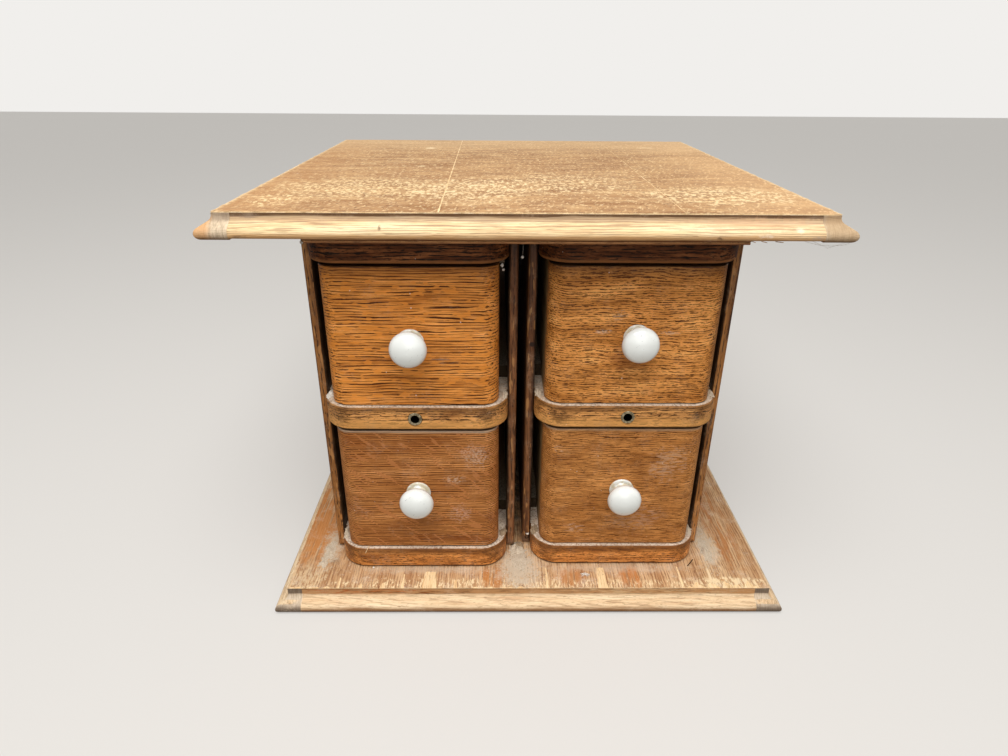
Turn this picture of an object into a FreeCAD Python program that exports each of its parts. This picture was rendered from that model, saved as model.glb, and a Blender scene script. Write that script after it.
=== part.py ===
import FreeCAD, Part
import math
import os
from types import SimpleNamespace

import Sketcher

# A tabletop chest of four drawers. Two narrow drawer cases stand side by side between two
# moulded boards of the same size. Millimetres; X to the right, Y to the back, Z up. The origin
# is on the floor, under the middle of the whole chest.

sizes = {
    # Boards. The base board lies a little to the right of the top board and in front of it.
    "board_width": 476,
    "board_depth": 490,
    "top_thickness": 19,
    "base_thickness": 22,
    "board_shift": 9,
    "board_set_back": 4.5,
    "veneer_thickness": 0.9,
    "veneer_joint_gap": 0.3,
    "veneer_left_joint": 69.7,
    "veneer_left_slant": 5.2,
    "veneer_right_joint": 114.7,
    "lipping_width": 24,
    "tongue_thickness": 6,
    "tongue_depth": 6,
    # Moulded edge: an upright fillet, a cove and a round nose.
    "edge_inset": 10.6,
    "cove_radius": 5,
    "nose_radius": 4.8,
    "top_fillet": 2.3,
    "base_fillet": 6.7,
    # Thin strip under the middle of the top board's front edge.
    "strip_length": 323,
    "strip_width": 16,
    "strip_thickness": 2,
    "strip_set_back": 3,
    "strip_round": 1.2,
    "relief_depth": 1.6,
    # Drawer cases.
    "case_width": 178,
    "case_depth": 412,
    "case_height": 330,
    "case_gap": 8.4,
    "case_set_back": 39.5,
    "right_case_lag": 4.2,
    "panel_thickness": 8,
    "panel_round": 2.5,
    "foot_radius": 7,
    # Front rails.
    "rail_height": 22.4,
    "top_rail_height": 26.5,
    "rail_depth": 62,
    "rail_projection": 29.7,
    "rail_corner_radius": 26,
    "rail_easing": 2.4,
    "housing_depth": 3,
    "housing_setback": 6,
    "lower_opening": 132,
    # Back rails, runners and kickers.
    "back_rail_height": 40,
    "back_rail_thickness": 20,
    "runner_width": 18,
    "fence_height": 12,
    # Drawers.
    "drawer_width": 146,
    "drawer_recess": 3.5,
    "drawer_side_clearance": 0.5,
    "drawer_lower_clearance": 0.3,
    "drawer_upper_clearance": 2.6,
    "drawer_back_clearance": 0.6,
    "front_corner_radius": 15.5,
    "front_easing": 1.2,
    "tail_land": 0.5,
    "tail_length": 6,
    "tail_root": 7.5,
    "tail_flare": 1.6,
    "tail_margin": 4,
    "side_thickness": 8,
    "side_drop": 3,
    "back_thickness": 8,
    "back_drop": 4,
    "bottom_thickness": 6,
    "bottom_rise": 7,
    "bottom_groove": 3,
    "bottom_front_groove": 5,
    "bottom_play": 0.4,
    # Porcelain knob and its screw.
    "knob_radius": 15.4,
    "knob_projection": 27,
    "knob_widest": 18,
    "knob_shoulder_radius": 7,
    "knob_back_radius": 11,
    "knob_neck_radius": 8,
    "knob_neck_end": 9.5,
    "knob_cove_radius": 4.6,
    "knob_flange_radius": 11.4,
    "knob_flange_thickness": 2.6,
    "knob_bore_depth": 14,
    "knob_screw_radius": 2,
    "knob_screw_head_radius": 5.5,
    "knob_screw_head_height": 2.6,
    "knob_screw_slot_width": 1.3,
    "knob_screw_slot_depth": 1,
    # Each knob's place, measured from the middle of its drawer front.
    "upper_left_knob_x": -0.4,
    "upper_left_knob_z": -1.7,
    "upper_right_knob_x": 1.4,
    "upper_right_knob_z": 1.2,
    "lower_left_knob_x": -1,
    "lower_left_knob_z": -0.8,
    "lower_right_knob_x": 1.2,
    "lower_right_knob_z": -0.2,
    # Drawer lock: a brass bush and a cam that turns behind it.
    "bush_radius": 5,
    "keyhole_radius": 3.85,
    "bush_flange_radius": 6,
    "bush_flange_thickness": 0.6,
    "cam_depth": 14,
    "cam_thickness": 5,
    "cam_half_width": 4,
    "cam_throw": 5.2,
    "cam_play": 0.5,
    "cam_mortise_play": 1,
    "cam_mortise_half_width": 14,
    "cam_mortise_depth": 5.8,
    "spindle_radius": 3.5,
    "spindle_length": 9,
    "key_socket": 3.6,
    # Wood screws.
    "screw_radius": 2,
    "screw_head_radius": 4.2,
    "screw_recess": 0.5,
    "screw_grip": 13,
    "screw_point": 3,
    "screw_side_inset": 31,
    "screw_front_inset": 45,
    "screw_back_inset": 60,
    # Clearances.
    "running_fit": 0.05,
    "seat_gap": 0.1,
}

tail_count = 3
screw_cone_angle = 45
point_cone_angle = 30
cut_margin = 5

doc = FreeCAD.newDocument("DrawerChest")
sheet = doc.addObject("Spreadsheet::Sheet", "Sizes")
for row, (name, value) in enumerate(sizes.items(), start=1):
    sheet.set("A%d" % row, name)
    sheet.set("B%d" % row, str(value))
    sheet.setAlias("B%d" % row, name)
doc.recompute()


class Size:
    """A length that knows its value and its formula in the sheet."""

    def __init__(self, value, formula):
        self.value = value
        self.formula = formula

    def __add__(self, other):
        other = sized(other)
        return Size(self.value + other.value, "(%s + %s)" % (self.formula, other.formula))

    def __sub__(self, other):
        other = sized(other)
        return Size(self.value - other.value, "(%s - %s)" % (self.formula, other.formula))

    def __mul__(self, other):
        other = sized(other)
        return Size(self.value * other.value, "(%s * %s)" % (self.formula, other.formula))

    def __truediv__(self, other):
        other = sized(other)
        return Size(self.value / other.value, "(%s / %s)" % (self.formula, other.formula))

    def __neg__(self):
        return self * -1

    def __radd__(self, other):
        return self + other

    def __rmul__(self, other):
        return self * other

    def __rsub__(self, other):
        return sized(other) - self


def sized(length):
    """Plain numbers become a Size whose formula is the number itself."""
    if isinstance(length, Size):
        return length
    return Size(length, "(%s)" % length)


dim = SimpleNamespace(**{name: Size(value, "Sizes." + name) for name, value in sizes.items()})


# Sizes that follow from the driving ones.

case_half = dim.case_width / 2
clear_half = case_half - dim.panel_thickness
drawer_half = dim.drawer_width / 2
front_thickness = dim.front_corner_radius + dim.tail_land + dim.tail_length
fence_width = clear_half - drawer_half - dim.drawer_side_clearance
upper_opening = dim.case_height - dim.rail_height * 2 - dim.lower_opening - dim.top_rail_height
middle_rail_z = dim.rail_height + dim.lower_opening
upper_opening_z = middle_rail_z + dim.rail_height
top_rail_z = dim.case_height - dim.top_rail_height
back_rail_y = dim.case_depth - dim.back_rail_thickness
drawer_length = back_rail_y - dim.drawer_recess - dim.drawer_back_clearance
cam_reach = dim.rail_height / 2 + dim.cam_throw
cam_slot_depth = dim.cam_thickness + dim.cam_play * 2
inner_half = drawer_half - dim.side_thickness
groove_half = inner_half + dim.bottom_groove
groove_top = dim.bottom_rise + dim.bottom_thickness

top_z = dim.base_thickness + dim.case_height
top_place = (-dim.board_shift / 2, dim.board_set_back / 2, top_z)
base_place = (dim.board_shift / 2, -dim.board_set_back / 2, 0)


def case_place(side):
    """Middle of a case's rail fronts on the base board; side is -1 for left and 1 for right."""
    x = side * (dim.case_gap / 2 + case_half) - dim.board_shift / 2
    y = dim.case_set_back - dim.board_depth / 2 - dim.board_set_back / 2
    if side > 0:
        y = y + dim.right_case_lag
    return x, y, dim.base_thickness


# Helpers for bodies, sketches and features.

pieces = []


def bind(thing, slot, length):
    """Tie a property or a constraint to a formula of the sheet."""
    thing.setExpression(slot, sized(length).formula)


def new_piece(name, place):
    """A body whose label names its file, placed from the sheet."""
    body = doc.addObject("PartDesign::Body", name)
    body.Label = name
    for axis, length in zip("xyz", place):
        bind(body, "Placement.Base." + axis, length)
    pieces.append(body)
    return body


def new_sketch(body, plane, offset=0):
    """A sketch on one of the body's own planes, moved along the plane's normal by the offset."""
    support = [feature for feature in body.Origin.OriginFeatures if feature.Role == plane][0]
    sketch = body.newObject("Sketcher::SketchObject", "Sketch")
    sketch.AttachmentSupport = [(support, "")]
    sketch.MapMode = "FlatFace"
    bind(sketch, "AttachmentOffset.Base.z", offset)
    return sketch


def corner(x, y, bend=None, smooth=False, free=False):
    """A corner of an outline. A bend is the radius of the arc that arrives here, positive when it
    turns left. A smooth corner is tangent, and a free one is placed by its tangents."""
    return {"x": sized(x), "y": sized(y), "bend": bend, "smooth": smooth, "free": free}


def arc_between(start, end, bend):
    """The short arc from start to end."""
    radius = abs(bend.value)
    chord = end - start
    height = math.sqrt(max(radius**2 - (chord.Length / 2) ** 2, 0))
    left = FreeCAD.Vector(-chord.y, chord.x, 0).normalize()
    centre = (start + end) / 2 + left * math.copysign(height, bend.value)
    first, last = (start, end) if bend.value > 0 else (end, start)
    angles = [math.atan2(point.y - centre.y, point.x - centre.x) for point in (first, last)]
    if angles[1] < angles[0]:
        angles[1] += 2 * math.pi
    circle = Part.Circle(centre, FreeCAD.Vector(0, 0, 1), radius)
    return Part.ArcOfCircle(circle, angles[0], angles[1])


def draw_outline(sketch, corners):
    """Close an outline through the corners; each edge arrives at its own corner."""
    corners = [item if isinstance(item, dict) else corner(*item) for item in corners]
    points = [FreeCAD.Vector(item["x"].value, item["y"].value, 0) for item in corners]
    first = sketch.GeometryCount
    edges = []
    ends = []
    for index, item in enumerate(corners):
        start, end = points[index - 1], points[index]
        if item["bend"] is None:
            edges.append(Part.LineSegment(start, end))
            ends.append((1, 2))
        else:
            edges.append(arc_between(start, end, item["bend"]))
            ends.append((1, 2) if item["bend"].value > 0 else (2, 1))
    sketch.addGeometry(edges, False)
    rules = []
    formulas = {}

    def add_rule(rule, length=None):
        rules.append(rule)
        if length is not None:
            formulas[len(rules) - 1] = length

    for index, item in enumerate(corners):
        following = (index + 1) % len(corners)
        here = (first + index, ends[index][1])
        there = (first + following, ends[following][0])
        kind = "Tangent" if item["smooth"] else "Coincident"
        add_rule(Sketcher.Constraint(kind, *here, *there))
        if not item["free"]:
            add_rule(Sketcher.Constraint("DistanceX", *here, item["x"].value), item["x"])
            add_rule(Sketcher.Constraint("DistanceY", *here, item["y"].value), item["y"])
        if item["bend"] is not None:
            radius = item["bend"] if item["bend"].value > 0 else -item["bend"]
            add_rule(Sketcher.Constraint("Radius", here[0], radius.value), radius)
    start_index = sketch.ConstraintCount
    sketch.addConstraint(rules)
    for index, length in formulas.items():
        bind(sketch, "Constraints[%d]" % (start_index + index), length)


def draw_box(sketch, low_x, high_x, low_y, high_y):
    draw_outline(sketch, [(low_x, low_y), (high_x, low_y), (high_x, high_y), (low_x, high_y)])


def draw_circle(sketch, x, y, radius):
    centre = FreeCAD.Vector(sized(x).value, sized(y).value, 0)
    index = sketch.addGeometry(Part.Circle(centre, FreeCAD.Vector(0, 0, 1), radius.value), False)
    for kind, length in (("DistanceX", x), ("DistanceY", y)):
        length = sized(length)
        rule = sketch.addConstraint(Sketcher.Constraint(kind, index, 3, length.value))
        bind(sketch, "Constraints[%d]" % rule, length)
    rule = sketch.addConstraint(Sketcher.Constraint("Radius", index, radius.value))
    bind(sketch, "Constraints[%d]" % rule, radius)


def add_feature(body, kind, sketch, length, backwards, both, taper):
    feature = body.newObject("PartDesign::" + kind, kind)
    feature.Profile = sketch
    feature.Reversed = backwards
    if both:
        feature.SideType = "Symmetric"
    bind(feature, "Length", length)
    if taper:
        feature.TaperAngle = -taper
    return feature


def pad(body, sketch, length, backwards=False, both=False, taper=0):
    """Raise the sketch along its normal, which is +X, -Y or +Z."""
    return add_feature(body, "Pad", sketch, length, backwards, both, taper)


def pocket(body, sketch, length, backwards=False, both=False, taper=0):
    """Cut against the sketch's normal, so towards -X, +Y or -Z."""
    return add_feature(body, "Pocket", sketch, length, backwards, both, taper)


def revolve(body, sketch):
    """Turn the sketch about its own vertical axis."""
    feature = body.newObject("PartDesign::Revolution", "Revolution")
    feature.Profile = sketch
    feature.ReferenceAxis = (sketch, ["V_Axis"])
    feature.Angle = 360
    return feature


def ease_front_edges(body, feature, depth, radius):
    """Round the upper and lower edges of a bowed front, back to the given depth."""
    doc.recompute()
    box = feature.Shape.BoundBox
    names = []
    for number, edge in enumerate(feature.Shape.Edges, start=1):
        flat = edge.BoundBox.ZLength < 0.01
        outer = min(abs(edge.BoundBox.ZMin - box.ZMin), abs(edge.BoundBox.ZMax - box.ZMax)) < 0.01
        if flat and outer and edge.BoundBox.YMax < box.YMin + depth.value + 0.01:
            names.append("Edge%d" % number)
    fillet = body.newObject("PartDesign::Fillet", "Fillet")
    fillet.Base = (feature, names)
    bind(fillet, "Radius", radius)


# Screws. Each place is an (x, y) in the body's own frame.


def drill(body, places, z, radius, depth):
    sketch = new_sketch(body, "XY_Plane", z)
    for x, y in places:
        draw_circle(sketch, x, y, radius)
    pocket(body, sketch, depth, backwards=True)


def countersink(body, places, z):
    sketch = new_sketch(body, "XY_Plane", z)
    mouth = dim.screw_head_radius + dim.screw_recess + dim.seat_gap
    for x, y in places:
        draw_circle(sketch, x, y, mouth)
    pocket(body, sketch, mouth - dim.screw_radius, backwards=True, taper=screw_cone_angle)


def make_screws(name, places, z, length):
    """Countersunk wood screws driven upwards from z, all in one node."""
    screws = new_piece(name, (0, 0, z))
    head = dim.screw_head_radius
    shank = dim.screw_radius
    start_of_point = length - dim.screw_point
    stages = (
        (head, dim.screw_recess, head - shank, screw_cone_angle),
        (shank, dim.screw_recess, start_of_point - dim.screw_recess, 0),
        (shank, start_of_point, dim.screw_point, point_cone_angle),
    )
    for radius, start, height, taper in stages:
        sketch = new_sketch(screws, "XY_Plane", start)
        for x, y in places:
            draw_circle(sketch, x, y, radius)
        pad(screws, sketch, height, taper=taper)


screw_hole = dim.screw_radius + dim.seat_gap


def front_screws():
    """Screw places in a case's front rails, in the case's own frame."""
    x = clear_half - dim.screw_side_inset
    return [(-x, dim.screw_front_inset), (x, dim.screw_front_inset)]


def back_screws():
    """Screw places in a case's runners and kickers, in the case's own frame."""
    x = clear_half - dim.runner_width / 2
    return [(-x, dim.case_depth - dim.screw_back_inset), (x, dim.case_depth - dim.screw_back_inset)]


def board_screws(place):
    """All eight screw places seen from a frame at the given place."""
    found = []
    for side in (-1, 1):
        case_x, case_y, _ = case_place(side)
        for x, y in front_screws() + back_screws():
            found.append((case_x + x - place[0], case_y + y - place[1]))
    return found


# Boards.


def moulding(outer, outward, thickness, fillet):
    """The moulded edge from the underside up to the fillet. Outer is where the nose reaches, and
    outward is 1 or -1. The two free corners start near their tangents."""
    inset_edge = outer - outward * dim.edge_inset
    across = dim.edge_inset.value - dim.nose_radius.value - dim.cove_radius.value
    rise = thickness.value - dim.nose_radius.value - fillet.value
    reach = dim.nose_radius.value + dim.cove_radius.value
    slope = math.asin(reach / math.hypot(across, rise)) + math.atan2(across, rise)
    nose_x = outer.value - outward * dim.nose_radius.value * (1 - math.cos(slope))
    nose_z = dim.nose_radius.value * (1 + math.sin(slope))
    cove_x = inset_edge.value + outward * dim.cove_radius.value * (1 - math.cos(slope))
    cove_z = thickness.value - fillet.value - dim.cove_radius.value * math.sin(slope)
    return [
        corner(outer - outward * dim.nose_radius, 0, smooth=True),
        corner(nose_x, nose_z, bend=outward * dim.nose_radius, smooth=True, free=True),
        corner(cove_x, cove_z, smooth=True, free=True),
        corner(inset_edge, thickness - fillet, bend=-outward * dim.cove_radius, smooth=True),
    ]


def lipping_outline(outer, outward, thickness, fillet):
    """Section of a lipping: moulded edge outside, square inside."""
    body_height = thickness - dim.veneer_thickness
    inner = outer - outward * dim.lipping_width
    square = [(outer - outward * dim.edge_inset, body_height), (inner, body_height), (inner, 0)]
    return moulding(outer, outward, thickness, fillet) + square


def end_waste_outline(outer, outward, thickness, fillet):
    """What is cut from the end of a side lipping to carry the moulding round the corner."""
    beyond = outer + outward * cut_margin
    over = thickness + cut_margin
    under = outer - outward * (dim.nose_radius + cut_margin)
    fillet_top = (outer - outward * dim.edge_inset, over)
    around = [fillet_top, (beyond, over), (beyond, -cut_margin), (under, -cut_margin), (under, 0)]
    return moulding(outer, outward, thickness, fillet) + around


def make_board(prefix, place, thickness, fillet):
    """A core with a tongue all round, four grooved and moulded lippings and no veneer yet."""
    body_height = thickness - dim.veneer_thickness
    tongue_z = (body_height - dim.tongue_thickness) / 2
    inner_x = dim.board_width / 2 - dim.lipping_width
    inner_y = dim.board_depth / 2 - dim.lipping_width

    core = new_piece(prefix + "_core", place)
    sketch = new_sketch(core, "XY_Plane")
    draw_box(sketch, -inner_x, inner_x, -inner_y, inner_y)
    pad(core, sketch, body_height)
    sketch = new_sketch(core, "XY_Plane", tongue_z)
    reach_x = inner_x + dim.tongue_depth
    reach_y = inner_y + dim.tongue_depth
    draw_box(sketch, -reach_x, reach_x, -reach_y, reach_y)
    pad(core, sketch, dim.tongue_thickness)

    def cut_groove(lipping):
        """Stops short of the corners, so that no slot shows there."""
        sketch = new_sketch(lipping, "XY_Plane", tongue_z)
        groove_x = reach_x + dim.seat_gap
        groove_y = reach_y + dim.seat_gap
        draw_box(sketch, -groove_x, groove_x, -groove_y, groove_y)
        pocket(lipping, sketch, dim.tongue_thickness, backwards=True)

    sides = new_piece(prefix + "_side_lippings", place)
    sketch = new_sketch(sides, "XZ_Plane")
    for outward in (-1, 1):
        outer = outward * dim.board_width / 2
        draw_outline(sketch, lipping_outline(outer, outward, thickness, fillet))
    pad(sides, sketch, dim.board_depth, both=True)
    sketch = new_sketch(sides, "YZ_Plane")
    for outward in (-1, 1):
        outer = outward * dim.board_depth / 2
        draw_outline(sketch, end_waste_outline(outer, outward, thickness, fillet))
    pocket(sides, sketch, dim.board_width + cut_margin, both=True)
    cut_groove(sides)

    for name, outward in (("front", -1), ("back", 1)):
        lipping = new_piece("%s_%s_lipping" % (prefix, name), place)
        sketch = new_sketch(lipping, "YZ_Plane")
        outer = outward * dim.board_depth / 2
        draw_outline(sketch, lipping_outline(outer, outward, thickness, fillet))
        pad(lipping, sketch, inner_x * 2, both=True)
        cut_groove(lipping)
    return core


def veneer_half():
    return dim.board_width / 2 - dim.edge_inset, dim.board_depth / 2 - dim.edge_inset


def make_top_board():
    core = make_board("top", top_place, dim.top_thickness, dim.top_fillet)
    drill(core, board_screws(top_place), 0, screw_hole, dim.screw_grip + dim.seat_gap)

    half_x, half_y = veneer_half()
    veneer = new_piece("top_veneer", top_place)
    sketch = new_sketch(veneer, "XY_Plane", dim.top_thickness - dim.veneer_thickness)
    gap = dim.veneer_joint_gap / 2
    left_back, right = -dim.veneer_left_joint, dim.veneer_right_joint
    left_front = left_back + dim.veneer_left_slant
    joints = [(-half_x, -half_x), (left_front, left_back), (right, right), (half_x, half_x)]
    for number, (left_ends, right_ends) in enumerate(zip(joints, joints[1:])):
        left_gap = gap if number > 0 else sized(0)
        right_gap = gap if number < 2 else sized(0)
        leaf = [
            (left_ends[0] + left_gap, -half_y),
            (right_ends[0] - right_gap, -half_y),
            (right_ends[1] - right_gap, half_y),
            (left_ends[1] + left_gap, half_y),
        ]
        draw_outline(sketch, leaf)
    pad(veneer, sketch, dim.veneer_thickness)


def make_front_strip():
    """The front lipping is relieved underneath at both ends, and a thin strip is glued between."""
    lipping = [body for body in pieces if body.Label == "top_front_lipping"][0]
    front = -dim.board_depth / 2
    sketch = new_sketch(lipping, "XY_Plane")
    for side in (-1, 1):
        near = side * dim.strip_length / 2
        far = side * dim.board_width / 2
        draw_box(sketch, near, far, front - cut_margin, front + dim.strip_set_back + dim.strip_width)
    pocket(lipping, sketch, dim.relief_depth, backwards=True)

    x, y, z = top_place
    strip = new_piece("top_front_strip", (x, y, z - dim.strip_thickness))
    sketch = new_sketch(strip, "YZ_Plane")
    nose = front + dim.strip_set_back
    outline = [
        (nose, dim.strip_round),
        corner(nose + dim.strip_round, 0, bend=dim.strip_round),
        (nose + dim.strip_width, 0),
        (nose + dim.strip_width, dim.strip_thickness),
        (nose, dim.strip_thickness),
    ]
    draw_outline(sketch, outline)
    pad(strip, sketch, dim.strip_length, both=True)


def make_base_board():
    core = make_board("base", base_place, dim.base_thickness, dim.base_fillet)
    places = board_screws(base_place)
    drill(core, places, 0, screw_hole, dim.base_thickness)
    countersink(core, places, 0)

    half_x, half_y = veneer_half()
    veneer = new_piece("base_veneer", base_place)
    sketch = new_sketch(veneer, "XY_Plane", dim.base_thickness - dim.veneer_thickness)
    draw_box(sketch, -half_x, half_x, -half_y, half_y)
    pad(veneer, sketch, dim.veneer_thickness)
    drill(veneer, places, 0, screw_hole, dim.base_thickness)


# Drawer cases, each in its own frame: X from its middle, Y from the rail fronts, Z from the base.


def front_rail_levels():
    """Foot and height of the bottom, middle and top rail."""
    low_rails = [(sized(0), dim.rail_height), (middle_rail_z, dim.rail_height)]
    return low_rails + [(top_rail_z, dim.top_rail_height)]


def back_rail_levels():
    return [sized(0), middle_rail_z, dim.case_height - dim.back_rail_height]


def make_panel(name, place, side):
    """A thin side board with a rounded front edge and foot, housed for the rails inside."""
    panel = new_piece(name, place)
    inner = side * clear_half
    outer = side * case_half
    front = dim.rail_projection
    rounding = side * dim.panel_round
    sketch = new_sketch(panel, "XY_Plane")
    outline = [
        (inner, dim.case_depth),
        (inner, front + dim.panel_round),
        corner(inner + rounding, front, bend=rounding),
        (outer - rounding, front),
        corner(outer, front + dim.panel_round, bend=rounding),
        (outer, dim.case_depth),
    ]
    draw_outline(sketch, outline)
    pad(panel, sketch, dim.case_height)

    sketch = new_sketch(panel, "YZ_Plane", inner)
    start = front + dim.housing_setback
    for low, height in front_rail_levels():
        draw_box(sketch, start, dim.rail_depth, low, low + height)
    for low in back_rail_levels():
        draw_box(sketch, back_rail_y, dim.case_depth, low, low + dim.back_rail_height)
    pocket(panel, sketch, dim.housing_depth, backwards=side > 0)

    sketch = new_sketch(panel, "YZ_Plane")
    waste = [
        (front - cut_margin, -cut_margin),
        (front + dim.foot_radius, -cut_margin),
        (front + dim.foot_radius, 0),
        corner(front, dim.foot_radius, bend=-dim.foot_radius),
        (front - cut_margin, dim.foot_radius),
    ]
    draw_outline(sketch, waste)
    pocket(panel, sketch, dim.case_width + cut_margin, both=True)


def make_front_rail(name, place, z, height):
    """A thick rail with rounded front corners and tongues that enter the panels' housings."""
    x, y, base = place
    rail = new_piece(name, (x, y, base + z))
    radius = dim.rail_corner_radius
    shoulder = dim.rail_projection + dim.housing_setback
    tongue = clear_half + dim.housing_depth - dim.seat_gap
    sketch = new_sketch(rail, "XY_Plane")
    outline = [
        (-tongue, dim.rail_depth),
        (-tongue, shoulder),
        (-clear_half, shoulder),
        (-clear_half, radius),
        corner(radius - clear_half, 0, bend=radius),
        (clear_half - radius, 0),
        corner(clear_half, radius, bend=radius),
        (clear_half, shoulder),
        (tongue, shoulder),
        (tongue, dim.rail_depth),
    ]
    draw_outline(sketch, outline)
    board = pad(rail, sketch, height)
    ease_front_edges(rail, board, shoulder, dim.rail_easing)
    return rail


def cut_lock_seat(rail):
    """The bore for the bush, the slot in which the cam turns and the hole for its spindle."""
    middle = dim.rail_height / 2
    sketch = new_sketch(rail, "XZ_Plane")
    draw_circle(sketch, 0, middle, dim.bush_radius + dim.running_fit)
    pocket(rail, sketch, dim.cam_depth)
    sketch = new_sketch(rail, "XZ_Plane")
    draw_circle(sketch, 0, middle, dim.spindle_radius + dim.running_fit)
    pocket(rail, sketch, dim.cam_depth + cam_slot_depth + dim.spindle_length + dim.cam_play)
    sketch = new_sketch(rail, "XY_Plane")
    reach = cam_reach + dim.cam_mortise_play
    draw_box(sketch, -reach, reach, dim.cam_depth, dim.cam_depth + cam_slot_depth)
    pocket(rail, sketch, dim.rail_height, backwards=True)


def make_back_rails(name, place):
    """Three boards on edge across the back; the drawers stop against them."""
    rails = new_piece(name, place)
    reach = clear_half + dim.housing_depth - dim.seat_gap
    sketch = new_sketch(rails, "XZ_Plane", -back_rail_y)
    for low in back_rail_levels():
        draw_box(sketch, -reach, reach, low, low + dim.back_rail_height)
    pad(rails, sketch, dim.back_rail_thickness, backwards=True)


def make_runners(name, place):
    """L-shaped runners that carry and guide the drawers, and plain kickers above the upper one."""
    runners = new_piece(name, place)
    sketch = new_sketch(runners, "XZ_Plane", -dim.rail_depth)
    for side in (-1, 1):
        wall = side * clear_half
        bearing = side * (clear_half - dim.runner_width)
        fence = side * (clear_half - fence_width)
        for low in (sized(0), middle_rail_z):
            seat = low + dim.rail_height
            fence_top = seat + dim.fence_height
            foot = [(wall, low), (bearing, low), (bearing, seat)]
            draw_outline(sketch, foot + [(fence, seat), (fence, fence_top), (wall, fence_top)])
        draw_box(sketch, wall, bearing, top_rail_z, dim.case_height)
    pad(runners, sketch, back_rail_y - dim.rail_depth, backwards=True)
    drill(runners, back_screws(), 0, screw_hole, dim.screw_grip + dim.seat_gap)
    drill(runners, back_screws(), top_rail_z, screw_hole, dim.top_rail_height)
    countersink(runners, back_screws(), top_rail_z)


def make_lock(prefix, place):
    """The flanged bush that lines the keyhole, and the cam with its spindle."""
    x, y, base = place
    axis_place = (x, y, base + middle_rail_z + dim.rail_height / 2)
    bush = new_piece(prefix + "_keyhole_bush", axis_place)
    sketch = new_sketch(bush, "XY_Plane")
    half_flange = dim.bush_flange_thickness / 2
    outline = [
        (dim.keyhole_radius, -dim.bush_flange_thickness),
        (dim.bush_flange_radius - half_flange, -dim.bush_flange_thickness),
        corner(dim.bush_flange_radius, -half_flange, bend=half_flange),
        (dim.bush_flange_radius, 0),
        (dim.bush_radius, 0),
        (dim.bush_radius, dim.cam_depth - dim.cam_play),
        (dim.keyhole_radius, dim.cam_depth - dim.cam_play),
    ]
    draw_outline(sketch, outline)
    revolve(bush, sketch)

    cam = new_piece(prefix + "_lock_cam", axis_place)
    front = dim.cam_depth + dim.cam_play
    sketch = new_sketch(cam, "XZ_Plane", -front)
    half = dim.cam_half_width
    straight = cam_reach - half
    outline = [
        (straight, -half),
        corner(cam_reach, 0, bend=half),
        corner(straight, half, bend=half),
        (-straight, half),
        corner(-cam_reach, 0, bend=half),
        corner(-straight, -half, bend=half),
    ]
    draw_outline(sketch, outline)
    pad(cam, sketch, dim.cam_thickness, backwards=True)
    sketch = new_sketch(cam, "XZ_Plane", -(front + dim.cam_thickness))
    draw_circle(sketch, 0, 0, dim.spindle_radius)
    pad(cam, sketch, dim.spindle_length, backwards=True)
    sketch = new_sketch(cam, "XZ_Plane", -front)
    socket = dim.key_socket / 2
    draw_box(sketch, -socket, socket, -socket, socket)
    pocket(cam, sketch, dim.cam_thickness)


def make_case(prefix, side):
    place = case_place(side)
    make_panel(prefix + "_outer_panel", place, side)
    make_panel(prefix + "_inner_panel", place, -side)
    names = [prefix + "_" + word + "_rail" for word in ("bottom", "middle", "top")]
    bottom_rail, middle_rail, top_rail = [
        make_front_rail(name, place, low, height)
        for name, (low, height) in zip(names, front_rail_levels())
    ]
    drill(bottom_rail, front_screws(), 0, screw_hole, dim.screw_grip + dim.seat_gap)
    cut_lock_seat(middle_rail)
    drill(top_rail, front_screws(), 0, screw_hole, dim.top_rail_height)
    countersink(top_rail, front_screws(), 0)
    make_back_rails(prefix + "_back_rails", place)
    make_runners(prefix + "_runners", place)
    make_lock(prefix, place)


# Drawers, each in its own frame: X from its middle, Y from the face of its front, Z from its foot.


def tail_heights(side_height):
    """Middles of the dovetails, evenly spaced between the bottom's groove and the back's top."""
    tip = dim.tail_root + dim.tail_flare
    first = groove_top + dim.tail_margin + tip
    last = side_height - dim.back_drop - dim.tail_margin - tip
    pitch = (last - first) / (tail_count - 1)
    return [first + pitch * number for number in range(tail_count)]


def tail_outline(root_y, tip_y, z):
    """A dovetail from its narrow root out to its wide tip, drawn upwards."""
    tip = dim.tail_root + dim.tail_flare
    return [(root_y, z - dim.tail_root), (tip_y, z - tip), (tip_y, z + tip), (root_y, z + dim.tail_root)]


def cut_bottom_groove(body):
    """The groove that takes the drawer bottom, at the same level in the front and both sides."""
    sketch = new_sketch(body, "YZ_Plane")
    start = front_thickness - dim.bottom_front_groove
    draw_box(sketch, start, drawer_length, dim.bottom_rise, groove_top)
    pocket(body, sketch, groove_half * 2, both=True)


def cut_sockets(body, root_y, tip_y, side_height):
    """Sockets for the dovetails of both sides."""
    for side in (-1, 1):
        sketch = new_sketch(body, "YZ_Plane", side * inner_half)
        for z in tail_heights(side_height):
            draw_outline(sketch, tail_outline(root_y, tip_y, z))
        pocket(body, sketch, dim.side_thickness, backwards=side > 0)


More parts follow.
